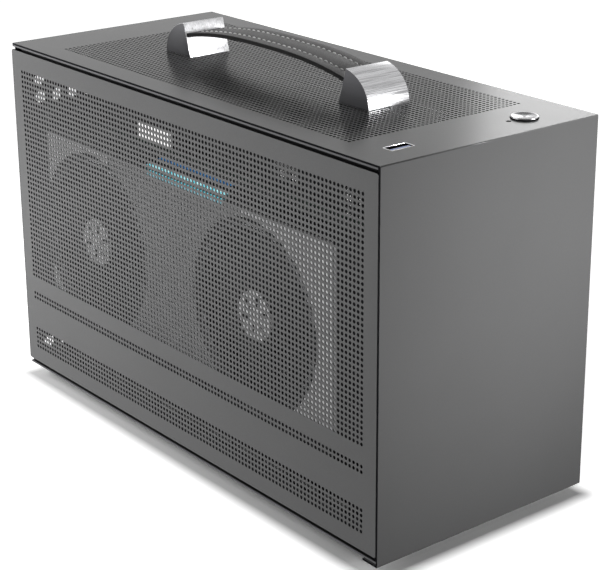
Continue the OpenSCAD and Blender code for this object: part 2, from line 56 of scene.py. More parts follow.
HALF_WIDTH = 78.2  # outer face of a side panel
CONTROLS_X = 159.7  # line of the button, the light and the socket
BUTTON_Y = 42.3
SOCKET_Y = -48.1
FAN_X = (62.3, -103.3)  # axes of the card's front and rear fan
FAN_Z = 112.65

Pair = tuple[float, float]
Triple = tuple[float, float, float]
Colour = Triple
Loop = list[Pair]
Skin = tuple[list, list]
Placer = Callable[[float, float, float], Vector]
Socket = bpy.types.NodeSocket
Material = bpy.types.Material
log = logging.getLogger("case_looks")


def grey(level: float, blue: float = 0.01) -> Colour:
    """A neutral linear colour with a touch more blue."""
    return (level, level, level + blue)


class Side(Enum):
    """The two perforated sides of the case."""

    NEAR = -1
    FAR = 1


class End(Enum):
    """The two ends of the case along X."""

    FRONT = 1
    REAR = -1


class Shader:
    """Typed front to the node tree of one material.

    Attributes:
        material: The material being made.
        place: Each point's place in the row frame, at rest.
    """

    def __init__(self, name: str, colour: Colour, roughness: float, metallic: float = 0.0) -> None:
        """Starts a material with constant values on its surface shader.

        Args:
            name: Name of the material.
            colour: Linear base colour.
            roughness: Mean roughness.
            metallic: Share of metal.
        """
        self.material = bpy.data.materials.new(name)
        self.material.use_nodes = True
        self.tree = self.material.node_tree
        self.surface = self.tree.nodes["Principled BSDF"]
        self.material.diffuse_color = (*colour, 1.0)
        self.set("Base Color", (*colour, 1.0))
        self.set("Roughness", roughness)
        self.set("Metallic", metallic)
        self.place = self.node("ShaderNodeTexCoord").outputs["Object"]

    def set(self, socket: str, value: float | tuple[float, ...]) -> None:
        """Sets a constant on the surface shader's own socket."""
        self.surface.inputs[socket].default_value = value

    def feed(self, socket: str, source: Socket) -> None:
        """Links a pattern to a socket of the surface shader."""
        self.tree.links.new(source, self.surface.inputs[socket])

    def node(self, kind: str, inputs: dict | None = None, **settings: object) -> bpy.types.Node:
        """Adds a node.

        Args:
            kind: Blender's name of the node type.
            inputs: Values or sockets by input name or index.
            **settings: Properties of the node.

        Returns:
            The node.
        """
        made = self.tree.nodes.new(kind)
        for key, value in settings.items():
            setattr(made, key, value)
        for key, value in (inputs or {}).items():
            if isinstance(value, Socket):
                self.tree.links.new(value, made.inputs[key])
            else:
                made.inputs[key].default_value = value
        return made

    def noise(self, scale: float, detail: float = 2.0, stretch: Triple = (1.0, 1.0, 1.0)) -> Socket:
        """Noise over the row frame, its features about 1 / scale metres wide.

        Args:
            scale: Features per metre.
            detail: Octaves.
            stretch: Factor on the scale along X, Y and Z.

        Returns:
            A value socket, about 0.25 to 0.75.
        """
        room = self.node("ShaderNodeMapping", {"Vector": self.place, "Scale": stretch})
        wave = {"Vector": room.outputs[0], "Scale": scale, "Detail": detail, "Roughness": 0.55}
        return self.node("ShaderNodeTexNoise", wave).outputs["Fac"]

    def span(self, source: Socket, low: float, high: float, start: float = 0.3, end: float = 0.7) -> Socket:
        """Maps start..end of a value to low..high, clamped.

        Args:
            source: The value.
            low: Result at start.
            high: Result at end.
            start: Value that gives low.
            end: Value that gives high.

        Returns:
            The mapped value.
        """
        limits = {"From Min": start, "From Max": end, "To Min": low, "To Max": high}
        return self.node("ShaderNodeMapRange", {"Value": source, **limits}).outputs[0]

    def math(self, what: str, a: Socket | float, b: Socket | float = 0.0) -> Socket:
        """One arithmetic node."""
        return self.node("ShaderNodeMath", {0: a, 1: b}, operation=what).outputs[0]

    def vector(self, what: str, a: Socket, b: Socket | Colour = (0, 0, 0), out: str = "Vector") -> Socket:
        """One vector arithmetic node."""
        return self.node("ShaderNodeVectorMath", {0: a, 1: b}, operation=what).outputs[out]

    def axis(self, letter: str) -> Socket:
        """One coordinate of the place, in metres."""
        return self.node("ShaderNodeSeparateXYZ", {0: self.place}).outputs[letter]

    def tint(self, colour: Colour, factor: Socket) -> Socket:
        """A colour times a value."""
        return self.node("ShaderNodeVectorMath", {0: colour, "Scale": factor}, operation="SCALE").outputs[0]

    def mix(self, share: Socket, a: Socket | Colour, b: Socket | Colour) -> Socket:
        """Blends two colours, b where share is 1.

        Args:
            share: Share of b.
            a: First colour.
            b: Second colour.

        Returns:
            The blend.
        """
        fill = [v if isinstance(v, Socket) else (*v, 1.0) for v in (a, b)]
        made = self.node("ShaderNodeMix", {0: share, 6: fill[0], 7: fill[1]}, data_type="RGBA")
        return made.outputs[2]

    def bump(self, height: Socket, depth: float, strength: float = 0.5) -> Socket:
        """A normal that follows a height pattern, depth in metres.

        Args:
            height: The pattern.
            depth: Its depth.
            strength: Share of the full effect.

        Returns:
            The normal.
        """
        wanted = {"Height": height, "Distance": depth, "Strength": strength}
        return self.node("ShaderNodeBump", wanted).outputs[0]

    def radius(self, x: float, z: float) -> Socket:
        """Distance from an axis along Y through x and z, in metres."""
        off = self.vector("MULTIPLY", self.vector("SUBTRACT", self.place, (x, 0, z)), (1, 0, 1))
        return self.vector("LENGTH", off, out="Value")

    def worn_and_lit_edge(self, width: float) -> Socket:
        """1 along the solid's own edges, within about width metres, and 0 elsewhere: where edges are worn
        and take a painted highlight.

        Args:
            width: Reach from the edge.

        Returns:
            The mask.
        """
        round_edge = self.node("ShaderNodeBevel", {"Radius": width}, samples=4)
        true_face = self.node("ShaderNodeNewGeometry").outputs["True Normal"]
        facing = self.vector("DOT_PRODUCT", round_edge.outputs[0], true_face, "Value")
        return self.span(facing, 1.0, 0.0, 0.86, 0.985)


@dataclass(frozen=True)
class Finish:
    """What every finish has.

    Attributes:
        name: Name of its material.
        colour: Its linear base colour.
    """

    name: str
    colour: Colour

    def make(self) -> Material:
        """Builds the material."""
        raise NotImplementedError


@dataclass(frozen=True)
class SheetPaint(Finish):
    """Satin powder paint over folded steel sheet."""

    roughness: float = 0.22
    metallic: float = 0.0
    specular: float = 0.15
    edge_at: float = 0.0
    edge_colour: Colour = (0.13, 0.13, 0.135)

    def make(self) -> Material:
        """Builds the paint.

        Returns:
            The material. Where edge_at is set, the sheet is edge_colour beyond that |Y|.
        """
        s = Shader(self.name, self.colour, self.roughness, self.metallic)
        s.set("Specular IOR Level", self.specular)
        powder = s.noise(2400, 2)
        tone = s.math("ADD", s.span(powder, 0.95, 1.05), s.span(s.noise(14, 3), -0.02, 0.02))
        paint = s.tint(self.colour, tone)
        if self.edge_at:
            beyond = s.math("GREATER_THAN", s.math("ABSOLUTE", s.axis("Y")), self.edge_at)
            paint = s.mix(beyond, paint, s.tint(self.edge_colour, tone))
        s.feed("Base Color", paint)
        s.feed("Roughness", s.span(s.noise(500, 4), self.roughness - 0.03, self.roughness + 0.03))
        s.feed("Normal", s.bump(powder, 0.000008, 0.25))
        return s.material


@dataclass(frozen=True)
class BrushedMetal(Finish):
    """Metal brushed in one direction, lighter along its edges: edge wear and a painted highlight."""

    stretch: Triple = (1.0, 0.02, 1.0)
    roughness: float = 0.26
    depth: float = 0.00002
    edge_wear_and_highlight: float = 0.0004
    streaks: float = 0.09

    def make(self) -> Material:
        """Builds the brushed metal.

        Returns:
            The material.
        """
        s = Shader(self.name, self.colour, self.roughness, 1.0)
        lines = s.noise(2200, 4, self.stretch)
        broad = s.noise(420, 2, self.stretch)
        fine = s.span(lines, 1.0 - 2 * self.streaks, 1.0 + self.streaks / 2)
        tone = s.math("ADD", fine, s.span(broad, -self.streaks / 2, self.streaks / 2))
        # Lighter base colour along the edges: wear, and a painted highlight.
        edge = s.worn_and_lit_edge(self.edge_wear_and_highlight)
        bright = tuple(min(1.0, c * 1.15 + 0.05) for c in self.colour)
        s.feed("Base Color", s.mix(edge, s.tint(self.colour, tone), bright))
        s.feed("Roughness", s.span(lines, self.roughness - 0.08, self.roughness + 0.1))
        s.feed("Normal", s.bump(lines, self.depth, 0.5))
        return s.material


@dataclass(frozen=True)
class TurnedMetal(Finish):
    """Metal faced on a lathe: fine rings round the piece's own upright axis, with a painted reflection of
    light and dark wedges about it.

    Attributes:
        x: X of the axis.
        y: Y of the axis.
        bright_at: Direction of the painted bright wedges of reflection, in degrees.
        pip: Radius of the dark pip in the middle.
    """

    x: float
    y: float
    bright_at: float = 50.0
    pip: float = 0.9

    def make(self) -> Material:
        """Builds the metal with its rings, and its wedges of painted reflection, about its axis.

        Returns:
            The material.
        """
        s = Shader(self.name, self.colour, 0.24, 1.0)
        shift = s.vector("SUBTRACT", s.place, (self.x * MM, self.y * MM, 0))
        parts = s.node("ShaderNodeSeparateXYZ", {0: shift})
        out = s.vector("LENGTH", s.vector("MULTIPLY", shift, (1, 1, 0)), out="Value")
        wave = {"W": out, "Scale": 9000.0, "Detail": 2.0}
        ring = s.node("ShaderNodeTexNoise", wave, noise_dimensions="1D").outputs["Fac"]
        # The wedges are a painted reflection: the base colour is lighter and darker by angle round the
        # axis.
        turn = s.math("ARCTAN2", parts.outputs["Y"], parts.outputs["X"])
        twice = s.math("MULTIPLY", s.math("SUBTRACT", turn, math.radians(self.bright_at)), 2.0)
        wedge = s.span(s.math("COSINE", twice), 0.2, 1.0, -0.7, 0.9)
        body = s.math("GREATER_THAN", out, self.pip * MM)
        tone = s.math("MULTIPLY", s.math("MULTIPLY", wedge, s.span(ring, 0.8, 1.1)), body)
        s.feed("Base Color", s.tint(self.colour, tone))
        s.feed("Roughness", s.span(ring, 0.2, 0.34))
        s.feed("Normal", s.bump(ring, 0.00001, 0.4))
        return s.material


@dataclass(frozen=True)
class Moulding(Finish):
    """Moulded plastic or rubber with a spark-eroded grain."""

    roughness: float = 0.5
    grain: float = 900.0
    depth: float = 0.00003
    coat: float = 0.0
    specular: float = 0.5

    def make(self) -> Material:
        """Builds the moulded finish.

        Returns:
            The material.
        """
        s = Shader(self.name, self.colour, self.roughness)
        s.set("Specular IOR Level", self.specular)
        s.set("Coat Weight", self.coat)
        s.set("Coat Roughness", 0.12)
        grain = s.noise(self.grain, 3)
        dust = s.span(s.noise(60, 4), 0.9, 1.15)
        s.feed("Base Color", s.tint(self.colour, dust))
        s.feed("Roughness", s.span(grain, self.roughness - 0.07, self.roughness + 0.08))
        s.feed("Normal", s.bump(grain, self.depth, 0.4))
        return s.material


@dataclass(frozen=True)
class Leather(Finish):
    """Fine-grained leather with pebbles and pores."""

    def make(self) -> Material:
        """Builds the leather.

        Returns:
            The material.
        """
        s = Shader(self.name, self.colour, 0.52)
        s.set("Specular IOR Level", 0.4)
        spots = {"Vector": s.place, "Scale": 1100.0}
        cells = s.node("ShaderNodeTexVoronoi", spots, feature="DISTANCE_TO_EDGE")
        pebble = s.span(cells.outputs["Distance"], 0.0, 1.0, 0.02, 0.28)
        pores = s.noise(2600, 2)
        tone = s.math("MULTIPLY", s.span(pebble, 0.72, 1.08, 0.0, 1.0), s.span(s.noise(45, 4), 0.9, 1.12))
        s.feed("Base Color", s.tint(self.colour, tone))
        s.feed("Roughness", s.span(pebble, 0.62, 0.46, 0.0, 1.0))
        height = s.math("ADD", pebble, s.math("MULTIPLY", pores, 0.35))
        s.feed("Normal", s.bump(height, 0.00007, 0.6))
        return s.material


@dataclass(frozen=True)
class Thread(Finish):
    """Twisted sewing thread."""

    def make(self) -> Material:
        """Builds the thread with its plies slanting along X.

        Returns:
            The material.
        """
        s = Shader(self.name, self.colour, 0.7)
        s.set("Sheen Weight", 0.25)
        slant = s.node("ShaderNodeMapping", {"Vector": s.place, "Rotation": (0.0, 0.0, 0.6)})
        plies = s.node("ShaderNodeTexWave", {"Vector": slant.outputs[0], "Scale": 420.0, "Distortion": 0.6})
        twist = plies.outputs["Fac"]
        s.feed("Base Color", s.tint(self.colour, s.span(twist, 0.82, 1.0, 0.0, 1.0)))
        s.feed("Normal", s.bump(twist, 0.00008, 0.6))
        return s.material


@dataclass(frozen=True)
class CircuitBoard(Finish):
    """Solder mask with faint traces."""

    def make(self) -> Material:
        """Builds the board.

        Returns:
            The material.
        """
        s = Shader(self.name, self.colour, 0.35)
        spots = {"Vector": s.place, "Scale": 260.0}
        bricks = s.node("ShaderNodeTexVoronoi", spots, distance="CHEBYCHEV")
        trace = s.span(bricks.outputs["Distance"], 1.5, 0.8, 0.35, 0.5)
        s.feed("Base Color", s.tint(self.colour, trace))
        s.feed("Roughness", s.span(s.noise(300, 3), 0.28, 0.45))
        s.feed("Normal", s.bump(trace, 0.00003, 0.4))
        return s.material


@dataclass(frozen=True)
class Glow(Finish):
    """Light guide with coloured segments along X."""

    second: Colour
    strength: float

    def make(self) -> Material:
        """Builds the lit strip.

        Returns:
            The material.
        """
        s = Shader(self.name, self.colour, 0.3)
        wave = {"W": s.axis("X"), "Scale": 330.0, "Detail": 1.0}
        cells = s.node("ShaderNodeTexNoise", wave, noise_dimensions="1D")
        share = s.span(cells.outputs["Fac"], 0.0, 1.0, 0.4, 0.6)
        shade = s.mix(share, self.colour, self.second)
        s.feed("Base Color", shade)
        s.feed("Emission Color", shade)
        s.set("Emission Strength", self.strength)
        s.feed("Roughness", s.span(s.noise(500, 2), 0.2, 0.4))
        return s.material


@dataclass(frozen=True)
class ShroudCoat(Finish):
    """Coat of the card's cooler: silver ends, a greyer middle, black foot and rear end, black mouths as
    painted shade round the fans, and a painted glow below the lit strip.

    Attributes:
        middle: Colour between the fans.
        black: Colour of the mouths' painted shade, of the foot and of the rear end.
        fans: X of the fans' axes.
        axis_z: Z of the fans' axes.
        mouth: Radius within which the coat is painted black round a fan, as shade in its recess.
        split: Reach of the greyer middle along X.
        skin_y: Y behind which the mouths' walls are painted black too, as shade in the recess.
        foot_z: Z below which the coat is black.
        rear_x: X behind which the coat is black.
        step: Width of the mouths' walls.
        spill: Colour of the painted glow on the coat that stands in for the light the lit strip throws on
            it.
        spill_level: Strength of that painted glow at its brightest.
        spill_x: Its reach along X.
        spill_z: Its reach up the coat, from nothing to full.
    """

    middle: Colour
    black: Colour
    fans: Pair
    axis_z: float
    mouth: float
    split: Pair
    skin_y: float = -67.5
    foot_z: float = 64.0
    rear_x: float = -156.0
    step: float = 2.1
    spill: Colour = (0.05, 0.4, 0.5)
    spill_level: float = 1.5
    spill_x: Pair = (-41.0, 34.0)
    spill_z: Pair = (171.8, 173.9)

    def within(self, s: Shader, reach: Pair) -> Socket:
        """1 where X is between two places in millimetres, or else 0.

        Args:
            s: The shader.
            reach: Lowest and highest X.

        Returns:
            The mask.
        """
        low, high = reach
        off_middle = s.math("SUBTRACT", s.axis("X"), (low + high) / 2 * MM)
        return s.math("LESS_THAN", s.math("ABSOLUTE", off_middle), (high - low) / 2 * MM)

    def make(self) -> Material:
        """Builds the coat, laid out by place in the row frame.

        Returns:
            The material.
        """
        s = Shader(self.name, self.colour, 0.38, 0.0)
        inner = self.within(s, self.split)
        fleck = s.noise(1800, 2)
        tone = s.span(fleck, 0.92, 1.05)
        coat = s.mix(inner, s.tint(self.colour, tone), s.tint(self.middle, tone))
        first, second = (s.radius(f * MM, self.axis_z * MM) for f in self.fans)
        near = s.math("MINIMUM", first, second)
        # The mouths and their walls behind skin_y are painted black: painted shade of the recesses round
        # the fans.
        mouth = s.math("LESS_THAN", near, self.mouth * MM)
        behind = s.math("GREATER_THAN", s.axis("Y"), self.skin_y * MM)
        well = s.math("MULTIPLY", behind, s.math("LESS_THAN", near, (self.mouth + self.step) * MM))
        foot = s.math("LESS_THAN", s.axis("Z"), self.foot_z * MM)
        rear = s.math("LESS_THAN", s.axis("X"), self.rear_x * MM)
        dark = s.math("MAXIMUM", s.math("MAXIMUM", mouth, well), s.math("MAXIMUM", foot, rear))
        # Painted light: the coat glows below the lit strip, standing in for the light that the strip throws
        # on it.
        low, high = self.spill_z
        fade = s.span(s.axis("Z"), 0.0, self.spill_level, low * MM, high * MM)
        s.set("Emission Color", (*self.spill, 1.0))
        s.feed("Emission Strength", s.math("MULTIPLY", fade, self.within(s, self.spill_x)))
        s.feed("Base Color", s.mix(dark, coat, self.black))
        s.set("Specular IOR Level", 0.3)
        s.feed("Roughness", s.span(fleck, 0.3, 0.46))
        s.feed("Normal", s.bump(fleck, 0.00002, 0.3))
        return s.material


class Palette:
    """Every finish of the case, made once."""

    def __init__(self) -> None:
        """Makes the materials."""
        self.panel = SheetPaint("panel_paint", grey(0.11, 0.001)).make()
        self.cover = SheetPaint("cover_paint", grey(0.11, 0.001)).make()
        # Near-black and nearly without gloss: painted shade on cut edges, hole walls and the insides of the
        # button and socket, where gaps and hollows are dark.
        self.cut = SheetPaint("dark_cut_edge", grey(0.004, 0.001), 0.6, 0.0, 0.02).make()
        black = grey(0.01, 0.001)
        # The frame is near-black within its outer edges: painted shade for the gaps between the cover, the
        # frame and the panels. Its outer edges take the panel grey.
        self.frame = SheetPaint("frame_paint", black, 0.5, 0.0, 0.1, edge_at=0.0778).make()
        self.inner = SheetPaint("inner_paint", black, 0.5, 0.0, 0.1).make()
        upright = (1.0, 1.0, 0.04)
        self.brushed = BrushedMetal("brushed_aluminium", grey(0.52), streaks=0.22, depth=0.00001).make()
        self.block_inner = BrushedMetal(
            "block_inner_metal", grey(0.5), upright, 0.34, 0.000004, streaks=0.22
        ).make()
        # The blocks' flat sides take a far darker copy of their metal: painted shade and dark reflection on
        # those sides.
        side_shade = grey(0.03, 0.002)
        self.block_side = BrushedMetal("block_side_metal", side_shade, (0.02, 1.0, 1.0), 0.42).make()
        self.leather = Leather("strap_leather", (0.085, 0.084, 0.084)).make()
        self.edge_paint = Moulding("strap_edge_paint", grey(0.004, 0.0), 0.6, specular=0.06).make()
        self.thread = Thread("white_thread", (0.95, 0.95, 0.94)).make()
        self.turned = TurnedMetal("turned_button", grey(0.5), CONTROLS_X, BUTTON_Y).make()
        self.black = Moulding("black_plastic", grey(0.014, 0.001), 0.45).make()
        self.light_guide = Moulding("light_guide", grey(0.004, 0.0), 0.8, specular=0.0).make()
        self.rubber = Moulding("foot_rubber", grey(0.018, 0.0), 0.75, 500.0, 0.00006).make()
        self.fan = Moulding("fan_plastic", grey(0.008, 0.001), 0.5, specular=0.12).make()
        self.blue = Moulding("blue_tongue", (0.14, 0.24, 0.75), 0.3, coat=0.3).make()
        self.gold = BrushedMetal("gold_contacts", (0.85, 0.6, 0.25), (1, 1, 0.05), 0.25).make()
        self.plated = BrushedMetal("plated_steel", grey(0.55), (1, 1, 0.05), 0.2, 0.00001).make()
        self.screws = BrushedMetal("zinc_screws", grey(0.3), (1, 1, 1), 0.5).make()
        self.brass = BrushedMetal("brass_standoffs", (0.62, 0.47, 0.2), (1, 0.05, 1), 0.3).make()
        self.bracket = BrushedMetal("bracket_steel", grey(0.26), (1, 1, 0.05), 0.4).make()
        self.fins = BrushedMetal("heatsink_fins", grey(0.3), (1, 1, 0.05), 0.45).make()
        self.board = CircuitBoard("solder_mask", (0.012, 0.04, 0.022)).make()
        self.backplate = SheetPaint("backplate_paint", grey(0.02, 0.002), 0.45).make()
        self.hub = SheetPaint("hub_cap_metal", grey(0.95), 0.3, 0.3, 0.6).make()
        self.ring = BrushedMetal("fan_mouth_ring", grey(0.24), (1, 1, 1), 0.42).make()
        self.strip = Glow("lit_strip", (0.04, 0.42, 0.52), (0.5, 0.85, 0.88), 1.3).make()
        self.second_strip = Glow("dim_strip", (0.015, 0.07, 0.2), (0.03, 0.14, 0.32), 1.0).make()
        self.shroud = ShroudCoat(
            "shroud_coat",
            grey(0.72),
            middle=grey(0.3, 0.005),
            black=grey(0.008, 0.001),
            fans=FAN_X,
            axis_z=FAN_Z,
            mouth=57.9,
            split=(-83.5, 52.3),
        ).make()


def new_mesh(
    name: str, points: Sequence, faces: Sequence, slots: Sequence[int] | None = None
) -> bpy.types.Mesh:
    """Makes a mesh with outward normals.

    Args:
        name: Name of the mesh.
        points: Points in metres.
        faces: Tuples of point numbers.
        slots: Material slot of each face.

    Returns:
        The mesh.
    """
    mesh = bpy.data.meshes.new(name)
    mesh.from_pydata([tuple(p) for p in points], [], [tuple(f) for f in faces])
    if slots is not None:
        mesh.polygons.foreach_set("material_index", list(slots))
    edit = bmesh.new()
    edit.from_mesh(mesh)
    bmesh.ops.remove_doubles(edit, verts=edit.verts[:], dist=1e-8)
    bmesh.ops.recalc_face_normals(edit, faces=edit.faces[:])
    edit.to_mesh(mesh)
    edit.free()
    mesh.update()
    return mesh


def smooth(mesh: bpy.types.Mesh, degrees: float = 35.0) -> bpy.types.Mesh:
    """Shades a mesh smooth, with edges sharper than the angle kept.

    Args:
        mesh: The mesh.
        degrees: The angle.

    Returns:
        The same mesh.
    """
    mesh.shade_smooth()
    mesh.set_sharp_from_angle(angle=math.radians(degrees))
    return mesh


def hang(name: str, data: bpy.types.ID) -> bpy.types.Object:
    """Puts a mesh, lamp or camera in the scene.

    Args:
        name: Name of the object.
        data: The mesh, lamp or camera.

    Returns:
        The object.
    """
    made = bpy.data.objects.new(name, data)
    bpy.context.scene.collection.objects.link(made)
    return made


def piece(
    name: str,
    mesh: bpy.types.Mesh,
    finishes: Sequence[Material],
    body: str,
    stands_for: Sequence[str] = (),
) -> bpy.types.Object:
    """Puts a mesh in the scene as a piece of the case.

    Args:
        name: Name of the piece.
        mesh: Its mesh, in the row frame.
        finishes: Materials in the order of its slots.
        body: Body that it rides on.
        stands_for: CAD nodes that it replaces.

    Returns:
        The object.
    """
    made = hang(name, mesh)
    for finish in finishes:
        mesh.materials.append(finish)
    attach(made, body)
    if stands_for:
        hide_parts(*stands_for)
    log.info("%s: %d faces on %s", name, len(mesh.polygons), body)
    return made


def regular(x: float, y: float, d: float, sides: int) -> Loop:
    """A regular polygon with a circle's area, its flats square to the axes.

    Args:
        x: Middle along the first axis.
        y: Middle along the second axis.
        d: Diameter of the circle.
        sides: Number of sides.

    Returns:
        Its corners.
    """
    r = d / 2 * math.sqrt(2 * math.pi / (sides * math.sin(2 * math.pi / sides)))
    turn = [2 * math.pi * (k + 0.5) / sides for k in range(sides)]
    return [(x + r * math.cos(t), y + r * math.sin(t)) for t in turn]


def rounded(x: float, y: float, w: float, h: float, r: float, steps: int = 4) -> Loop:
    """A rectangle round (x, y) with rounded corners.

    Args:
        x: Middle along the first axis.
        y: Middle along the second axis.
        w: Full size along the first axis.
        h: Full size along the second axis.
        r: Radius of the corners.
        steps: Steps of each corner.

    Returns:
        Its corners.
    """
    out: Loop = []
    for k, (sx, sy) in enumerate(((1, 1), (-1, 1), (-1, -1), (1, -1))):
        cx, cy = x + sx * (w / 2 - r), y + sy * (h / 2 - r)
        for i in range(steps + 1):
            t = math.pi / 2 * (k + i / steps)
            out.append((cx + r * math.cos(t), cy + r * math.sin(t)))
    return out


def quarter(x: float, y: float, r: float, start: float, steps: int = 4) -> Loop:
    """A quarter of a circle round (x, y), counter-clockwise from an angle."""
    turn = [start + math.pi / 2 * i / steps for i in range(steps + 1)]
    return [(x + r * math.cos(t), y + r * math.sin(t)) for t in turn]


@dataclass
class Plate:
    """A sheet with holes, laid out flat.

    Attributes:
        outline: Its outer edge.
        holes: Its convex holes.
        seams: Pairs of outline points that an edge joins across the sheet.
        lip: Thickness at the holes, whose lower edges are countersunk.
    """

    outline: Loop
    holes: list[Loop] = field(default_factory=list)
    seams: list[tuple[int, int]] = field(default_factory=list)
    lip: float | None = None

    def mesh(self, name: str, place: Placer, thick: float) -> bpy.types.Mesh:
        """Builds the sheet as a solid.

        Args:
            name: Name of the mesh.
            place: Gives the point in metres for a place on the sheet and a depth below its face.
            thick: Thickness.

        Returns:
            The mesh, with slot 1 on its outer edge, 2 on the holes' walls and 0 elsewhere.
        """
        flat: list[Vector] = []
        owner: list[int] = []
        edges: list[tuple[int, int]] = []
        for k, loop in enumerate([self.outline, *self.holes]):
            first = len(flat)
            flat += [Vector(p) for p in loop]
            owner += [k] * len(loop)
            edges += [(first + i, first + (i + 1) % len(loop)) for i in range(len(loop))]
        made = delaunay_2d_cdt(flat, edges + self.seams, [], 1, 1e-6, False)
        if len(made[0]) != len(flat):
            raise ValueError(f"{name}: the sheet's lines cross")
        skin = [f for f in made[2] if owner[f[0]] == 0 or len({owner[i] for i in f}) > 1]
        n = len(flat)
        lip = thick if self.lip is None else self.lip
        points = [place(p.x, p.y, 0.0) for p in flat]
        points += [place(p.x, p.y, thick if owner[i] == 0 else lip) for i, p in enumerate(flat)]
        faces = skin + [tuple(i + n for i in reversed(f)) for f in skin]
        faces += [(a, b, b + n, a + n) for a, b in edges]
        slots = [0] * (2 * len(skin)) + [1 if owner[a] == 0 else 2 for a, _ in edges]
        return new_mesh(name, points, faces, slots)


def ring_at(line: Loop, z: float) -> list[Vector]:
    """Lifts a level outline in millimetres to a height, as points in metres."""
    return [Vector((x, y, z)) * MM for x, y in line]


def loft(rings: Sequence[Sequence[Vector]], join: bool = False) -> Skin:
    """Skins a row of closed rings.

    Args:
        rings: Rings with equal numbers of points.
        join: Whether the last ring joins the first, or else both ends are filled.

    Returns:
        Points and faces.
    """
    n = len(rings[0])
    points = [p for ring in rings for p in ring]
    faces = []
    for r in range(len(rings) if join else len(rings) - 1):
        a, b = r * n, (r + 1) % len(rings) * n
        faces += [(a + i, a + (i + 1) % n, b + (i + 1) % n, b + i) for i in range(n)]
    if not join:
        faces += [tuple(range(n)), tuple(range(len(points) - n, len(points)))]
    return points, faces


def lathe(profile: Loop, turn: Placer, steps: int) -> Skin:
    """Turns a closed profile of (radius, height) round an axis.

    Args:
        profile: The profile's corners.
        turn: Gives the point in metres for a radius, an angle and a height.
        steps: Sides of the round.

    Returns:
        Points and faces.
    """
    rings = [[turn(r, 2 * math.pi * k / steps, h) for r, h in profile] for k in range(steps)]
    return loft(rings, join=True)


def joined(parts: Sequence[Skin]) -> tuple[list, list, list]:
    """Puts several solids in one list of points and faces, with the number of each face's solid.

    Args:
        parts: The solids.

    Returns:
        Points, faces and numbers.
    """
    points: list = []
    faces: list = []
    which: list = []
    for k, (p, f) in enumerate(parts):
        faces += [tuple(i + len(points) for i in face) for face in f]
        which += [k] * len(f)
        points += p
    return points, faces, which


@dataclass
class Perforation:
    """A square grid of small round holes.

    Attributes:
        pitch_u: Distance of the columns.
        pitch_v: Distance of the rows.
        hole: Diameter of a hole.
        sides: Sides of the polygon that stands for it.
    """

    pitch_u: float
    pitch_v: float
    hole: float
    sides: int = 8

    def loops(
        self,
        u0: float,
        v0: float,
        columns: int,
        rows: Sequence[int],
        skip: Callable[[float, float], bool] | None = None,
    ) -> list[Loop]:
        """Lays out the holes.

        Args:
            u0: Place of the first column.
            v0: Place of row 0, from which rows run down.
            columns: Number of columns.
            rows: Numbers of the rows that are there.
            skip: Tells which places stay closed.

        Returns:
            One loop for each hole.
        """
        spots = [(u0 + i * self.pitch_u, v0 - j * self.pitch_v) for j in rows for i in range(columns)]
        return [regular(u, v, self.hole, self.sides) for u, v in spots if not (skip and skip(u, v))]


@dataclass
class SidePanel:
    """Perforated sheet that snaps on one side of the case.

    Attributes:
        side: Side of the case.
        body: Body that it is.
        node: CAD node that it replaces.
        lip: Thickness at the holes, or None for the full sheet.
        first_x: X of the first column of holes.
        first_z: Z of the top row of holes.
    """

    side: Side
    body: str
    node: str
    x0: float = -180.5
    x1: float = 178.9
    z0: float = 12.2
    z1: float = 225.2
    outer: float = HALF_WIDTH
    thick: float = SHEET
    lip: float | None = 0.4
    corner: float = 0.9
    first_x: float = -168.82
    first_z: float = 212.33
    columns: int = 106
    grid: Perforation = field(default_factory=lambda: Perforation(3.2, 3.2, 2.0))

    def rows(self) -> list[int]:
        """Numbers of the rows of holes, in three fields from the top."""
        return [*range(44), 47, 48, *range(55, 60)]

    def outline(self) -> Loop:
        """The panel's edge with small chamfers at its corners.

        Returns:
            Its corners in X and Z.
        """
        c, a, b, low, high = self.corner, self.x0, self.x1, self.z0, self.z1
        under = [(a + c, low), (b - c, low), (b, low + c)]
        return under + [(b, high - c), (b - c, high), (a + c, high), (a, high - c), (a, low + c)]

    def place(self, x: float, z: float, depth: float) -> Vector:
        """A point of the sheet in metres, by its place and its depth below the outer face."""
        return Vector((x, self.side.value * (self.outer - depth), z)) * MM

    def build(self, paint: Palette) -> None:
        """Builds and dresses the panel.

        Args:
            paint: The finishes.
        """
        holes = self.grid.loops(self.first_x, self.first_z, self.columns, self.rows())
        mesh = Plate(self.outline(), holes, lip=self.lip).mesh(self.node, self.place, self.thick)
        name = f"panel_{self.side.name.lower()}"
        # Edges and hole walls take the near-black finish: painted shade of the gaps beside the panel and
        # inside its holes.
        finishes = [paint.panel, paint.cut, paint.cut]
        piece(name, mesh, finishes, self.body, [self.node])


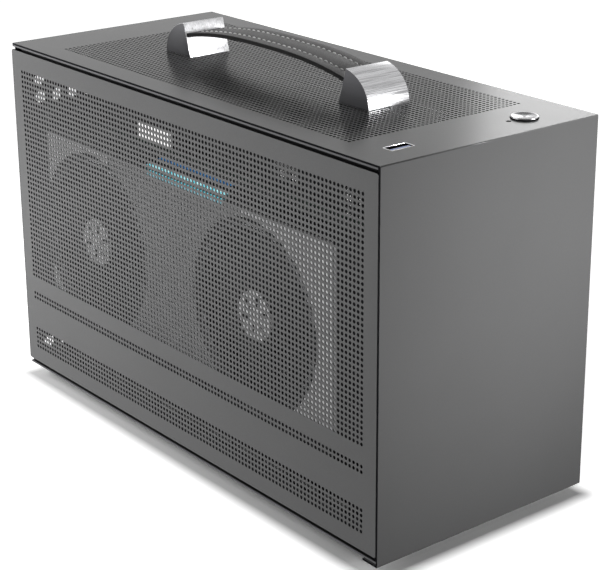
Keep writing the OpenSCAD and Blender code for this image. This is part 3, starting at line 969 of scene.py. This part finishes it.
@dataclass
class FoldedCover:
    """One sheet folded over the top, down the front and back under it.

    Attributes:
        half: Half its width.
        lip: Thickness at the holes.
        fold: Outer radius of its folds.
        back: How far it goes back under the front.
        bends: Steps of each fold.
        beside: Distance of the lines beside a fold.
        foot_x: X of the front feet, which it goes round.
        foot_r: Radius of the notch round a foot.
        field_x: X of the first column of holes.
        field_y: Y of the first line of holes.
        block_x: Reach of a handle block, where it has no holes.
        controls_x: X of the button, the light and the socket.
        button: Y and diameter of the button's hole.
        light: Y and diameter of the light's hole.
        socket: Y, width, length and corner radius of the socket's hole.
    """

    x_rear: float = -179.0
    x_front: float = 180.5
    half: float = HALF_WIDTH
    top: float = TOP
    bottom: float = 7.0
    thick: float = SHEET
    lip: float = 0.4
    fold: float = 0.6
    back: float = 12.0
    bends: int = 8
    beside: float = 4.0
    foot_x: float = 161.0
    foot_y: float = 51.0
    foot_r: float = 12.0
    foot_steps: int = 12
    field_x: float = -141.35
    field_y: float = 61.3
    columns: int = 93
    lines: int = 42
    grid: Perforation = field(default_factory=lambda: Perforation(3.017, 2.99, 1.9))
    block_x: Pair = (71.2, 97.8)
    block_half: float = 15.4
    controls_x: float = CONTROLS_X
    button: Pair = (BUTTON_Y, 16.1)
    light: Pair = (30.3, 2.9)
    socket: tuple[float, float, float, float] = (SOCKET_Y, 7.66, 16.06, 0.9)

    def marks(self) -> list[float]:
        """Places along the unfolded sheet where it bends, from the rear edge.

        Returns:
            Start and end of the upper fold, then of the lower one.
        """
        flat = self.x_front - self.fold - self.x_rear
        arc = self.fold * math.pi / 2
        front = self.top - self.bottom - 2 * self.fold
        return [flat, flat + arc, flat + arc + front, flat + 2 * arc + front]

    def place(self, s: float, y: float, depth: float) -> Vector:
        """Folds a point of the flat sheet.

        Args:
            s: Distance from the rear edge along the outer face.
            y: Place across.
            depth: Depth below the outer face.

        Returns:
            The point in metres.
        """
        a, b, c, d = self.marks()
        r = self.fold
        turn = (min(max(s - a, 0.0), b - a) + min(max(s - c, 0.0), d - c)) / r
        nx, nz = math.sin(turn), math.cos(turn)
        x = self.x_front - r - max(a - s, s - d, 0.0) + (r - depth) * nx
        z = self.top - r - min(max(s - b, 0.0), c - b) + (r - depth) * nz
        x = min(x, self.x_front - depth)
        z = min(z, self.top - depth)
        return Vector((x, y, max(z, self.bottom + depth))) * MM

    def cross_lines(self) -> list[float]:
        """Places where an edge runs across the sheet: along the folds and just beside them.

        Returns:
            Places along the sheet, in order.
        """
        a, b, c, d = self.marks()
        out = [a - self.beside, b + self.beside, c - self.beside]
        for start, end in ((a, b), (c, d)):
            out += [start + (end - start) * i / self.bends for i in range(self.bends + 1)]
        return sorted(out)

    def under_block(self, s: float, y: float) -> bool:
        """Whether a place on the flat sheet lies below a handle block."""
        return self.block_x[0] < abs(s + self.x_rear) < self.block_x[1] and abs(y) < self.block_half

    def plate(self) -> Plate:
        """Lays the sheet out flat, with the perforation and the cut-outs.

        Returns:
            The flat sheet.
        """
        across = self.cross_lines()
        end = self.marks()[-1] + self.back - self.fold
        near = [(0.0, -self.half), *((s, -self.half) for s in across), (end, -self.half)]
        notch: Loop = []
        centre = self.marks()[-1] + (self.x_front - self.fold - self.foot_x)
        for y in (-self.foot_y, self.foot_y):
            reach = math.acos((centre - end) / self.foot_r)
            for i in range(self.foot_steps + 1):
                t = -reach + 2 * reach * i / self.foot_steps
                notch.append((centre - self.foot_r * math.cos(t), y + self.foot_r * math.sin(t)))
        far = [(end, self.half), *((s, self.half) for s in reversed(across)), (0.0, self.half)]
        outline = near + notch + far
        n = len(across)
        start_far = len(near) + len(notch)
        seams = [(1 + i, start_far + n - i) for i in range(n)]
        start = self.field_x - self.x_rear
        holes = self.grid.loops(start, self.field_y, self.columns, range(self.lines), self.under_block)
        x = self.controls_x - self.x_rear
        holes += [regular(x, *self.button, 64), regular(x, *self.light, 24), rounded(x, *self.socket)]
        return Plate(outline, holes, seams, self.lip)

    def build(self, paint: Palette) -> None:
        """Builds and dresses the cover.

        Args:
            paint: The finishes.
        """
        mesh = self.plate().mesh("cover", self.place, self.thick)
        low, high = (self.top - self.fold) * MM, (self.bottom + self.fold) * MM
        edge = (self.x_front - self.fold) * MM
        for face in mesh.polygons:
            c = face.center
            face.use_smooth = c.x > edge and (c.z > low or c.z < high) and abs(face.normal.y) < 0.5
        # Edges and hole walls take the near-black finish: painted shade of the gap along the cover's edges
        # and inside its holes.
        finishes = [paint.cover, paint.cut, paint.cut]
        piece("cover_sheet", mesh, finishes, "chassis", ["outer_cover"])


@dataclass
class HandleBlock:
    """End block of the handle: inner face leans, outer face is a quarter of a round.

    Attributes:
        inner: Distance of the inner face's foot from the middle of the case.
        lean: How far the inner face leans outwards on its way up.
        swell: Height of the oval over the block's height.
        fullness: Power that shapes the oval. Below 1 it is fuller than a true one.
        slot_depth: How far the strap goes in.
    """

    end: End
    node: str
    inner: float = 71.6
    length: float = 25.8
    width: float = 30.0
    height: float = 20.7
    lean: float = 5.7
    base: float = TOP
    chamfer: float = 0.35
    slot_depth: float = 11.5
    steps: int = 56
    swell: float = 1.025
    fullness: float = 0.94

    def profile(self) -> Loop:
        """Side outline in X and Z from the foot of the inner face: a quarter of a full oval, cut level.

        Returns:
            Its corners.
        """
        last = math.acos(self.lean / self.length)
        out: Loop = [(0.0, 0.0)]
        for i in range(self.steps + 1):
            t = last * i / self.steps
            rise = self.height * self.swell * math.sin(t) ** self.fullness
            out.append((self.length * math.cos(t) ** self.fullness, min(self.height, rise)))
        return out

    def build(self, strap: "Strap", paint: Palette) -> None:
        """Builds the block with its slot for the strap.

        Args:
            strap: The strap that goes in the slot.
            paint: The finishes.
        """
        s = self.end.value
        line = [(s * (self.inner + u), self.base + v) for u, v in self.profile()]
        rings = [[Vector((x, y, z)) * MM for x, z in line] for y in (-self.width / 2, self.width / 2)]
        mesh = new_mesh(self.node, *loft(rings))
        block = hang("block_blank", mesh)
        tool = hang("slot_tool", strap.slot_mesh(s, self.inner + self.slot_depth))
        bevel = block.modifiers.new("edges", "BEVEL")
        bevel.width, bevel.segments, bevel.limit_method = self.chamfer * MM, 3, "ANGLE"
        bevel.angle_limit = math.radians(40)
        cut = block.modifiers.new("slot", "BOOLEAN")
        cut.object, cut.operation, cut.solver = tool, "DIFFERENCE", "EXACT"
        shown = block.evaluated_get(bpy.context.evaluated_depsgraph_get())
        final = bpy.data.meshes.new_from_object(shown)
        for o in (block, tool):
            bpy.data.objects.remove(o)
        final.materials.clear()
        # Flat sides take slot 1, the darker copy of the metal: painted shade.
        for face in final.polygons:
            inward = face.normal.x * s < -0.7
            face.material_index = 1 if abs(face.normal.y) > 0.95 else 2 if inward else 0
        smooth(final, 25)
        finishes = [paint.brushed, paint.block_side, paint.block_inner]
        name = f"block_{self.end.name.lower()}"
        piece(name, final, finishes, "chassis", [self.node])


@dataclass
class Strap:
    """Arched leather strap with painted edges and two rows of stitches.

    Attributes:
        reach: Half its length.
        crest: Z of its underside at the middle.
        drop: Fall of the underside from there to the distance span.
        seams: Y of the rows of stitches.
        thread: Radius of the thread.
        sink: How deep a seam lies in the leather.
        stand: Rise of a stitch at its middle.
        sewn: Half the length of a seam.
        slot_from: Where the solid that cuts the slot begins.
        slot_gap: Room beside the strap and above it in the slot.
    """

    width: float = 28.0
    thick: float = 2.4
    reach: float = 82.6
    crest: float = 248.1
    drop: float = 6.4
    span: float = 74.6
    seams: Pair = (-6.6, 7.5)
    stitch: float = 2.8
    pitch: float = 4.8
    thread: float = 0.36
    sink: float = 0.16
    stand: float = 0.24
    sewn: float = 70.0
    edge_round: float = 0.55
    steps: int = 72
    slot_from: float = 60.0
    slot_gap: Pair = (0.25, 0.2)

    def under(self, x: float) -> float:
        """Height of the strap's underside."""
        return self.crest - self.drop * (abs(x) / self.span) ** 2.6

    def painted(self, line: Loop) -> list[tuple[float, float, int]]:
        """Marks places of the section as painted edge."""
        return [(y, z, 1) for y, z in line]

    def section(self) -> list[tuple[float, float, int]]:
        """Closed section, each corner as (y, height, slot of the face that follows).

        Returns:
            Its corners.
        """
        w, t, r = self.width / 2, self.thick, self.edge_round
        groove = ((0.22, 0.0), (0.0, 0.18), (-0.22, 0.0))
        out = self.painted(quarter(-w + r, r, r, math.pi)[:-1]) + [(-w + r, 0.0, 0)]
        out += self.painted(quarter(w - r, r, r, -math.pi / 2))
        out += [(w - depth, t / 2 - up, 1) for up, depth in groove]
        out += self.painted(quarter(w - r, t - r, r, 0.0)[:-1]) + [(w - r, t, 0)]
        for y in sorted(self.seams, reverse=True):
            dip = ((0.9, 0.0), (0.45, self.sink), (-0.45, self.sink), (-0.9, 0.0))
            out += [(y + beside, t - deep, 0) for beside, deep in dip]
        out += self.painted(quarter(-w + r, t - r, r, math.pi / 2))
        return out + [(depth - w, t / 2 + up, 1) for up, depth in groove]

    def slot_mesh(self, s: int, end: float) -> bpy.types.Mesh:
        """Solid that cuts the strap's slot in one block.

        Args:
            s: 1 towards the front, -1 towards the rear.
            end: Where the slot ends, from the middle of the case.

        Returns:
            The mesh.
        """
        w, gap = self.width / 2 + self.slot_gap[0], self.slot_gap[1]
        rings = []
        for i in range(9):
            x = self.slot_from + (end - self.slot_from) * i / 8
            low, high = self.under(x) - gap, self.under(x) + self.thick + gap
            section = ((-w, low), (w, low), (w, high), (-w, high))
            rings.append([Vector((s * x, y, z)) * MM for y, z in section])
        return new_mesh("slot_tool", *loft(rings))

    def stitches(self) -> Skin:
        """Both rows of stitches, each a slim bead that dips into the leather at its ends.

        Returns:
            Points and faces.
        """
        parts = []
        count = int(2 * self.sewn / self.pitch)
        for y in self.seams:
            for k in range(count + 1):
                middle = (k - count / 2) * self.pitch
                rings = []
                for i in range(7):
                    u = i / 6 * 2 - 1
                    x = middle + u * self.stitch / 2
                    r = self.thread * math.sqrt(max(0.06, 1 - u**4))
                    z = self.under(x) + self.thick - self.sink + self.stand * (1 - u * u)
                    rings.append([Vector((x, y + a, z + b)) * MM for a, b in regular(0, 0, 2 * r, 8)])
                parts.append(loft(rings))
        points, faces, _ = joined(parts)
        return points, faces

    def build(self, paint: Palette) -> None:
        """Builds and dresses the strap and its thread.

        Args:
            paint: The finishes.
        """
        line = self.section()
        xs = [self.reach * (2 * i / self.steps - 1) for i in range(self.steps + 1)]
        rings = [[Vector((x, y, self.under(x) + h)) * MM for y, h, _ in line] for x in xs]
        points, faces = loft(rings)
        slots = [line[i][2] for _ in range(self.steps) for i in range(len(line))] + [1, 1]
        mesh = smooth(new_mesh("strap", points, faces, slots), 40)
        piece("strap", mesh, [paint.leather, paint.edge_paint], "chassis", ["handle_strap"])
        thread = smooth(new_mesh("strap_thread", *self.stitches()), 60)
        piece("strap_thread", thread, [paint.thread], "chassis")


@dataclass
class TopControls:
    """Power button and upright socket on the top.

    Attributes:
        rise: Rise of the button above the top.
        sheet: Thickness of the cover.
        floor: Z of the socket's floor.
        contacts: Y of the tongue's contacts from the socket's middle.
        flange: Width of the button's flange beyond its wall, and Z of its foot and face from the
            sheet's underside.
        edge: Inset and height of the small chamfer on a slab.
    """

    x: float = CONTROLS_X
    button_y: float = BUTTON_Y
    button_r: float = 7.75
    rise: float = 1.2
    top: float = TOP
    sheet: float = SHEET
    usb_y: float = SOCKET_Y
    floor: float = 213.0
    contacts: tuple[float, ...] = (-3.5, -1.2, 1.2, 3.5)
    flange: Triple = (0.9, -1.4, -0.05)
    edge: Pair = (0.2, 0.25)

    def cap_point(self, r: float, turn: float, height: float) -> Vector:
        """A point of the button by radius, angle and height above the sheet's underside.

        Args:
            r: Radius.
            turn: Angle.
            height: Height.

        Returns:
            The point in metres.
        """
        x = self.x + r * math.cos(turn)
        y = self.button_y + r * math.sin(turn)
        return Vector((x, y, self.top - self.sheet + height)) * MM

    def cap_line(self) -> Loop:
        """Profile of the button from the flange's axis, up its wall and over the dished face.

        Returns:
            Its corners as (radius, height).
        """
        r = self.button_r
        high = self.sheet + self.rise
        wide, foot, face = self.flange
        flange = [(0.01, foot), (r + wide, foot), (r + wide, face), (r, face)]
        rim = [(r, high - 0.6), (r - 0.12, high - 0.1), (r - 0.4, high), (r - 1.0, high)]
        dish = [(r - 1.3, high - 0.15), (r - 1.7, high - 0.32), (1.2, high - 0.62), (0.01, high - 0.66)]
        return flange + rim + dish

    def button(self, paint: Palette) -> None:
        """Turns the cap: a dished, faced top, and a side wall and flange painted near-black as shade of the
        gap round it.

        Args:
            paint: The finishes.
        """
        line = self.cap_line()
        points, faces = lathe(line, self.cap_point, 96)
        # The wall and flange take the near-black finish: painted shade.
        slots = [0 if 4 <= i % len(line) < len(line) - 1 else 1 for i in range(len(faces))]
        mesh = smooth(new_mesh("button_cap", points, faces, slots), 30)
        piece("button_cap", mesh, [paint.turned, paint.cut], "button", ["power_button"])

    def slab(self, x: Pair, y: Pair, z: Pair, r: float) -> Skin:
        """A block with rounded upright edges and a small chamfer on top.

        Args:
            x: Its reach along X from the socket's middle.
            y: Its reach along Y from the socket's middle.
            z: Its lowest and highest place.
            r: Radius of its upright edges.

        Returns:
            Points and faces.
        """
        u, v = self.x + sum(x) / 2, self.usb_y + sum(y) / 2
        inset, high = self.edge
        rings = []
        for less, level in ((0.0, z[0]), (0.0, z[1] - high), (2 * inset, z[1])):
            rings.append(ring_at(rounded(u, v, x[1] - x[0] - less, y[1] - y[0] - less, r, 2), level))
        return loft(rings)

    def socket(self, paint: Palette) -> None:
        """Shell with a rolled rim, and a tongue with its contacts on the front side.

        Args:
            paint: The finishes.
        """
        top, low = self.top, self.floor
        outside = [(3.6, 7.8, low), (3.6, 7.8, top - 1.2), (3.8, 8.0, top - 1.2), (3.8, 8.0, top + 0.08)]
        rim = [(3.75, 7.95, top + 0.14), (3.45, 7.5, top + 0.14)]
        inside = [(3.4, 7.4, top), (3.4, 7.4, low + 1.2)]
        section = outside + rim + inside
        rings = [ring_at(rounded(self.x, self.usb_y, 2 * a, 2 * b, 0.75), z) for a, b, z in section]
        points, faces = loft(rings)
        # The shell's inner walls and floor take the near-black finish: painted shade inside the opening.
        dark_from = (len(rings) - 2) * len(rings[0])
        slots = [int(i >= dark_from) for i in range(len(faces))]
        shell = smooth(new_mesh("socket_shell", points, faces, slots), 35)
        piece("socket_shell", shell, [paint.plated, paint.cut], "chassis", ["usb_shell"])
        parts = [self.slab((0.3, 3.1), (-6.4, 6.4), (low + 1.2, top - 0.15), 0.25)]
        for y in self.contacts:
            parts.append(self.slab((0.22, 0.5), (y - 0.5, y + 0.5), (low + 3, top - 1.4), 0.04))
        points, faces, which = joined(parts)
        mesh = smooth(new_mesh("socket_tongue", points, faces, [min(k, 1) for k in which]), 30)
        piece("socket_tongue", mesh, [paint.blue, paint.gold], "chassis", ["usb_tongue"])

    def build(self, paint: Palette) -> None:
        """Builds the controls that the CAD nodes only outline."""
        self.button(paint)
        self.socket(paint)


@dataclass
class FanWheel:
    """One of the card's fans: slotted hub cap, swept blades and an outer ring.

    Attributes:
        back: Y of its rear plane.
        hub: Radius of the hub.
        hub_face: Radius of the hub's face.
        hub_high: Height of the hub's wall and of its face.
        tip: Radius of the blades' tips.
        ring: Outer radius of the ring.
        ring_wall: Thickness of the ring.
        ring_high: Height of the ring.
        slots: Slots in the hub's cap.
        root: Radius of the blades' roots.
        middle: Height of the blades' middle.
        chord: Width of a blade at its root, what its belly adds and what its tip loses.
        pitch: Slope of a blade at its root, and how much of it the tip loses, in degrees.
        sweep: How far the tip runs ahead, in degrees.
        skin: Half thickness at a blade's edges, what the middle adds, and its arch.
        cap_top: Height of the cap's face.
        cap_d: Diameter of the cap.
        cap_thick: Thickness of the cap.
        cap_turn: Angle of its first slot.
        spoke: A slot of the cap as its middle, length, width and corner radius.
    """

    name: str
    x: float
    node: str
    body: str
    z: float = FAN_Z
    back: float = -57.2
    hub: float = 16.0
    hub_face: float = 15.2
    hub_high: Pair = (9.3, 10.4)
    tip: float = 50.4
    ring: float = 51.2
    ring_wall: float = 1.2
    ring_high: float = 9.6
    blades: int = 11
    slots: int = 6
    root: float = 14.8
    middle: float = 4.8
    chord: Triple = (12.6, 2.2, 1.2)
    pitch: Pair = (40.0, 14.0)
    sweep: float = 20.0
    skin: Triple = (0.2, 0.45, 0.5)
    cap_top: float = 11.4
    cap_d: float = 29.6
    cap_thick: float = 0.9
    cap_turn: float = 0.3
    spoke: tuple[float, ...] = (9.2, 0.0, 7.6, 3.0, 1.2)

    def at(self, r: float, a: float, h: float) -> Vector:
        """A point by radius, angle and height above the wheel's rear plane."""
        return Vector((self.x + r * math.cos(a), self.back - h, self.z + r * math.sin(a))) * MM

    def blade(self, start: float) -> Skin:
        """One twisted blade, thin at its edges.

        Args:
            start: Angle of its root.

        Returns:
            Points and faces.
        """
        rings = []
        wide, belly, taper = self.chord
        edge, thick, arch = self.skin
        for i in range(9):
            u = i / 8
            r = self.root + (self.tip - self.root) * u
            chord = wide + belly * math.sin(math.pi * u) - taper * u
            pitch = math.radians(self.pitch[0] - self.pitch[1] * u)
            lead = start + math.radians(self.sweep) * u * u
            upper, lower = [], []
            for j in range(7):
                v = j / 6 * 2 - 1
                full = 1 - v * v
                along = v * chord / 2
                for side, row in ((1, upper), (-1, lower)):
                    out = side * (edge + thick * full) + arch * full
                    h = self.middle + along * math.sin(pitch) + out * math.cos(pitch)
                    t = along * math.cos(pitch) - out * math.sin(pitch)
                    row.append(self.at(r, lead + t / r, h))
            rings.append(upper + lower[::-1])
        return loft(rings)

    def on_cap(self, u: float, v: float, depth: float) -> Vector:
        """A point of the hub's cap by its place on it and its depth below its face."""
        return self.at(math.hypot(u, v), math.atan2(v, u), self.cap_top - depth)

    def cap(self) -> Skin:
        """Thin cap on the hub with slots like the spokes of a wheel.

        Returns:
            Points and faces.
        """
        loops: list[Loop] = []
        for k in range(self.slots):
            a = 2 * math.pi * k / self.slots + self.cap_turn
            c, d = math.cos(a), math.sin(a)
            loops.append([(u * c - v * d, u * d + v * c) for u, v in rounded(*self.spoke, 3)])
        mesh = Plate(regular(0, 0, self.cap_d, 48), loops).mesh("cap", self.on_cap, self.cap_thick)
        out = [v.co.copy() for v in mesh.vertices], [tuple(f.vertices) for f in mesh.polygons]
        bpy.data.meshes.remove(mesh)
        return out

    def build(self, paint: Palette) -> None:
        """Builds the wheel.

        Args:
            paint: The finishes.
        """
        wall, face = self.hub_high
        hub_line = [(0.01, 0), (self.hub, 0), (self.hub, wall), (self.hub_face, face), (0.01, face)]
        inner = self.ring - self.ring_wall
        ring_line = [(inner, 0), (self.ring, 0), (self.ring, self.ring_high), (inner, self.ring_high)]
        hub = lathe(hub_line, self.at, 64)
        ring = lathe(ring_line, self.at, 96)
        blades = [self.blade(2 * math.pi * k / self.blades) for k in range(self.blades)]
        parts = [hub, ring, *blades, self.cap()]
        points, faces, which = joined(parts)
        slots = [int(k == len(parts) - 1) for k in which]
        mesh = smooth(new_mesh(self.name, points, faces, slots), 40)
        piece(self.name, mesh, [paint.fan, paint.hub], self.body, [self.node])


@dataclass
class CardTrim:
    """Bright lips of the fan mouths and the second, dim light strip of the card.

    Attributes:
        fans: X of the fans' axes.
        z: Z of the fans' axes.
        seat: Y of the cooler's face.
        mouth: Mean radius of a lip.
        dim_line: The strip as its middle in X and Y, its length and its width.
        dim_steps: How much smaller it is at each height.
    """

    fans: Pair = FAN_X
    z: float = FAN_Z
    seat: float = -67.6
    mouth: float = 52.8
    dim_line: tuple[float, float, float, float] = (-21.5, -48.6, 73.0, 5.4)
    dim_steps: tuple[Pair, ...] = ((0.0, 174.0), (0.0, 174.5), (0.3, 174.7))

    def at(self, x: float, r: float, a: float, h: float) -> Vector:
        """A point by a fan's place, radius, angle and height above the mouth's seat."""
        return Vector((x + r * math.cos(a), self.seat - h, self.z + r * math.sin(a))) * MM

    def lip(self, x: float) -> Skin:
        """Rolled lip of the fan mouth about x.

        Args:
            x: X of the fan's axis.

        Returns:
            Points and faces.
        """
        r = self.mouth
        inner, outer = r - 0.5, r + 0.4
        line = [(inner, 0), (outer, 0), (outer, 0.35), (r + 0.1, 0.6), (r - 0.3, 0.6), (inner, 0.35)]
        return lathe(line, partial(self.at, x), 96)

    def build(self, paint: Palette) -> None:
        """Builds the trim.

        Args:
            paint: The finishes.
        """
        points, faces, _ = joined([self.lip(x) for x in self.fans])
        mesh = smooth(new_mesh("fan_mouth_lips", points, faces), 50)
        piece("fan_mouth_lips", mesh, [paint.ring], "chassis")
        x, y, long, wide = self.dim_line
        rings = [ring_at(rounded(x, y, long - less, wide - less, 0.4), z) for less, z in self.dim_steps]
        strip = smooth(new_mesh("dim_light_line", *loft(rings)), 40)
        piece("dim_light_line", strip, [paint.second_strip], "chassis")


class Chassis:
    """The CAD nodes that keep their own meshes, and their finishes."""

    def __init__(self, nodes: dict[str, bpy.types.Object], paint: Palette) -> None:
        """Pairs nodes with finishes.

        Args:
            nodes: CAD nodes by name.
            paint: The finishes.
        """
        self.nodes = nodes
        self.plan: tuple[tuple[Material, str], ...] = (
            (paint.frame, "base_plate top_frame"),
            (paint.inner, "rear_panel front_panel tray tray_front psu_bracket"),
            (paint.brass, "standoffs"),
            (paint.black, "power_inlet panel_clips button_housing riser_socket"),
            (paint.plated, "studs_near studs_far"),
            (paint.screws, "handle_screws foot_screws card_screws"),
            (paint.light_guide, "status_light"),
            (paint.board, "io_board card_board"),
            (paint.backplate, "card_backplate card_shroud_walls"),
            (paint.shroud, "card_shroud"),
            (paint.fan, "card_fan_mounts"),
            (paint.fins, "card_heatsink card_fins"),
            (paint.strip, "card_light_bar"),
            (paint.bracket, "card_bracket"),
            (paint.rubber, "foot_front_near foot_front_far foot_rear_near foot_rear_far"),
        )

    def dress(self) -> None:
        """Gives each node its finish."""
        for finish, names in self.plan:
            for name in names.split():
                slots = self.nodes[name].data.materials
                for i in range(len(slots)):
                    slots[i] = finish
                if not slots:
                    slots.append(finish)
                log.info("%s wears %s", name, finish.name)


@dataclass(frozen=True)
class Softbox:
    """A rectangular lamp that faces a point, in metres.

    Attributes:
        name: Name of the lamp.
        spot: Where it hangs.
        aim: The point that it faces.
        size: Its width and height.
        watts: Its power.
        spread: How far its light spreads, in degrees.
    """

    name: str
    spot: Triple
    aim: Triple
    size: Pair
    watts: float
    spread: float = 180.0

    def build(self) -> bpy.types.Object:
        """Hangs the lamp.

        Returns:
            The lamp.
        """
        lamp = bpy.data.lights.new(self.name, "AREA")
        lamp.shape = "RECTANGLE"
        lamp.size, lamp.size_y = self.size
        lamp.energy = self.watts
        lamp.spread = math.radians(self.spread)
        held = hang(self.name, lamp)
        held.location = self.spot
        held.rotation_euler = (Vector(self.aim) - Vector(self.spot)).to_track_quat("-Z", "Y").to_euler()
        return held


@dataclass
class Studio:
    """Pale floor, soft lamps and the camera at the photograph's angle.

    Attributes:
        ambient: Strength of the surround as a light.
        footprint: Half the case's length and width.
        floor_lit: The floor's colour for the light that it throws back.
        floor_seen: The floor's colour to the camera.
        floor_glow: Two steps to white as (strength, distance from the case at which it is reached). Less
            glow near the case and none under it make a painted shade there.
        cooler: CAD nodes that the card's own lamp lights.
        card_pieces: Pieces that it lights too.
    """

    spot: Triple = (0.798363, -0.616480, 0.472855)
    azimuth: float = 50.543079
    elevation: float = 19.183634
    lens: float = 104.7238
    shift: Pair = (-0.056374, -0.063493)
    ambient: float = 0.01
    footprint: Triple = (0.18, 0.078, 0.0)
    floor_wide: float = 12.0
    floor_sides: int = 64
    floor_lit: Colour = (0.35, 0.35, 0.35)
    floor_seen: Colour = (0.92, 0.92, 0.92)
    floor_glow: tuple[Pair, ...] = ((0.88, 0.01), (0.12, 0.2))
    lamps: tuple[Softbox, ...] = (
        Softbox("far_softbox", (-0.70, 1.25, 0.66), (0.0, 0.0, 0.2), (0.6, 0.5), 2.65),
        Softbox("left_softbox", (-0.75, -0.6, 0.3), (-0.1, -0.08, 0.12), (0.5, 0.5), 1.85),
        Softbox("left_card", (-0.5, -0.4, 0.35), (-0.12, -0.08, 0.12), (0.3, 0.3), 2.5),
        Softbox("near_softbox", (-0.2, -0.9, 0.2), (-0.05, -0.08, 0.1), (0.5, 0.4), 3.0),
        Softbox("right_grid", (0.95, 0.45, 0.3), (0.18, 0.04, 0.175), (0.2, 0.2), 0.5, 30.0),
    )
    card_lamp: Softbox = Softbox("card_softbox", (0.5, -0.6, 0.35), (0.1, -0.07, 0.12), (0.3, 0.3), 2.6)
    cooler: tuple[str, ...] = ("card_shroud", "card_shroud_walls", "card_fan_mounts", "card_fins")
    card_pieces: tuple[str, ...] = ("fan_front", "fan_rear", "fan_mouth_lips")

    def light_card(self, nodes: dict[str, bpy.types.Object]) -> None:
        """Hangs a lamp for the card's cooler alone, at the level that it would have with the panel off.

        Args:
            nodes: CAD nodes by name, of which the cooler's are lit.
        """
        lit = bpy.data.collections.new("card_lit")
        for name in self.cooler:
            lit.objects.link(nodes[name])
        for name in self.card_pieces:
            lit.objects.link(bpy.data.objects[name])
        lamp = self.card_lamp.build()
        lamp.light_linking.receiver_collection = lit
        lamp.light_linking.blocker_collection = lit

    def camera(self) -> None:
        """Places the camera."""
        a, e = math.radians(self.azimuth), math.radians(self.elevation)
        back = Vector((math.sin(a) * math.cos(e), -math.cos(a) * math.cos(e), math.sin(e)))
        right = Vector((math.cos(a), math.sin(a), 0.0))
        up = back.cross(right)
        lens = bpy.data.cameras.new("camera")
        lens.lens, lens.sensor_width = self.lens, 36.0
        lens.shift_x, lens.shift_y = self.shift
        lens.clip_start, lens.clip_end = 0.01, 50.0
        held = hang("camera", lens)
        held.matrix_world = Matrix.Translation(self.spot) @ Matrix((right, up, back)).transposed().to_4x4()
        bpy.context.scene.camera = held

    def seen(self, tree: bpy.types.NodeTree) -> Socket:
        """1 for rays from the camera, mirrors and glass, 0 for light that bounces on.

        Args:
            tree: Node tree that gets the nodes.

        Returns:
            The mask.
        """
        path = tree.nodes.new("ShaderNodeLightPath")
        total = path.outputs["Is Camera Ray"]
        for name in ("Is Glossy Ray", "Is Transmission Ray"):
            add = tree.nodes.new("ShaderNodeMath")
            add.operation = "MAXIMUM"
            tree.links.new(total, add.inputs[0])
            tree.links.new(path.outputs[name], add.inputs[1])
            total = add.outputs[0]
        return total

    def world(self) -> None:
        """A white surround that lights the object at a plain level."""
        world = bpy.data.worlds.new("surround")
        bpy.context.scene.world = world
        world.use_nodes = True
        tree = world.node_tree
        sky = tree.nodes["Background"]
        sky.inputs["Color"].default_value = (1.0, 1.0, 1.0, 1.0)
        level = tree.nodes.new("ShaderNodeMapRange")
        level.inputs["To Min"].default_value = self.ambient
        level.inputs["To Max"].default_value = 1.0
        tree.links.new(self.seen(tree), level.inputs["Value"])
        tree.links.new(level.outputs[0], sky.inputs["Strength"])

    def clearance(self, s: Shader) -> Socket:
        """Distance on the floor from the rectangle that the case stands over, in metres."""
        past = s.vector("SUBTRACT", s.vector("ABSOLUTE", s.place), self.footprint)
        return s.vector("LENGTH", s.vector("MAXIMUM", past), out="Value")

    def floor(self) -> None:
        """A wide pale floor that keeps the lamps' shadow, has a painted shade under and close round the
        case, and looks white from afar.
        """
        ring = [Vector((x, y, 0.0)) for x, y in regular(0.0, 0.0, self.floor_wide, self.floor_sides)]
        mesh = new_mesh("floor", ring, [tuple(range(self.floor_sides))])
        ground = hang("floor", mesh)
        s = Shader("floor_paint", (0.9, 0.9, 0.9), 0.9)
        s.set("Specular IOR Level", 0.1)
        seen = self.seen(s.tree)
        s.feed("Base Color", s.mix(seen, self.floor_lit, self.floor_seen))
        s.set("Emission Color", (1.0, 1.0, 1.0, 1.0))
        # The glow is nil under the case and rises with distance from it: painted shade round the case.
        away = self.clearance(s)
        close, wide = (s.span(away, 0.0, share, 0.0, reach) for share, reach in self.floor_glow)
        s.feed("Emission Strength", s.math("MULTIPLY", seen, s.math("ADD", close, wide)))
        mesh.materials.append(s.material)

    def build(self) -> None:
        """Sets the whole studio."""
        bpy.context.scene.view_settings.view_transform = "Standard"
        self.world()
        self.floor()
        for lamp in self.lamps:
            lamp.build()
        self.camera()


def main() -> None:
    """Builds the sub-assemblies in order, from the frame outwards."""
    logging.basicConfig(level=logging.INFO, format="%(name)s: %(message)s")
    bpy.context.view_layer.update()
    paint = Palette()
    Chassis(frame["nodes"], paint).dress()
    SidePanel(Side.NEAR, "near_panel", "side_panel_near").build(paint)
    SidePanel(Side.FAR, "far_panel", "side_panel_far", lip=None).build(paint)
    FoldedCover().build(paint)
    strap = Strap()
    HandleBlock(End.FRONT, "handle_block_front").build(strap, paint)
    HandleBlock(End.REAR, "handle_block_rear").build(strap, paint)
    strap.build(paint)
    TopControls().build(paint)
    FanWheel("fan_front", FAN_X[0], "card_fan_front", "front_fan").build(paint)
    FanWheel("fan_rear", FAN_X[1], "card_fan_rear", "rear_fan").build(paint)
    CardTrim().build(paint)
    studio = Studio()
    studio.build()
    studio.light_card(frame["nodes"])


if __name__ == "__main__":
    main()
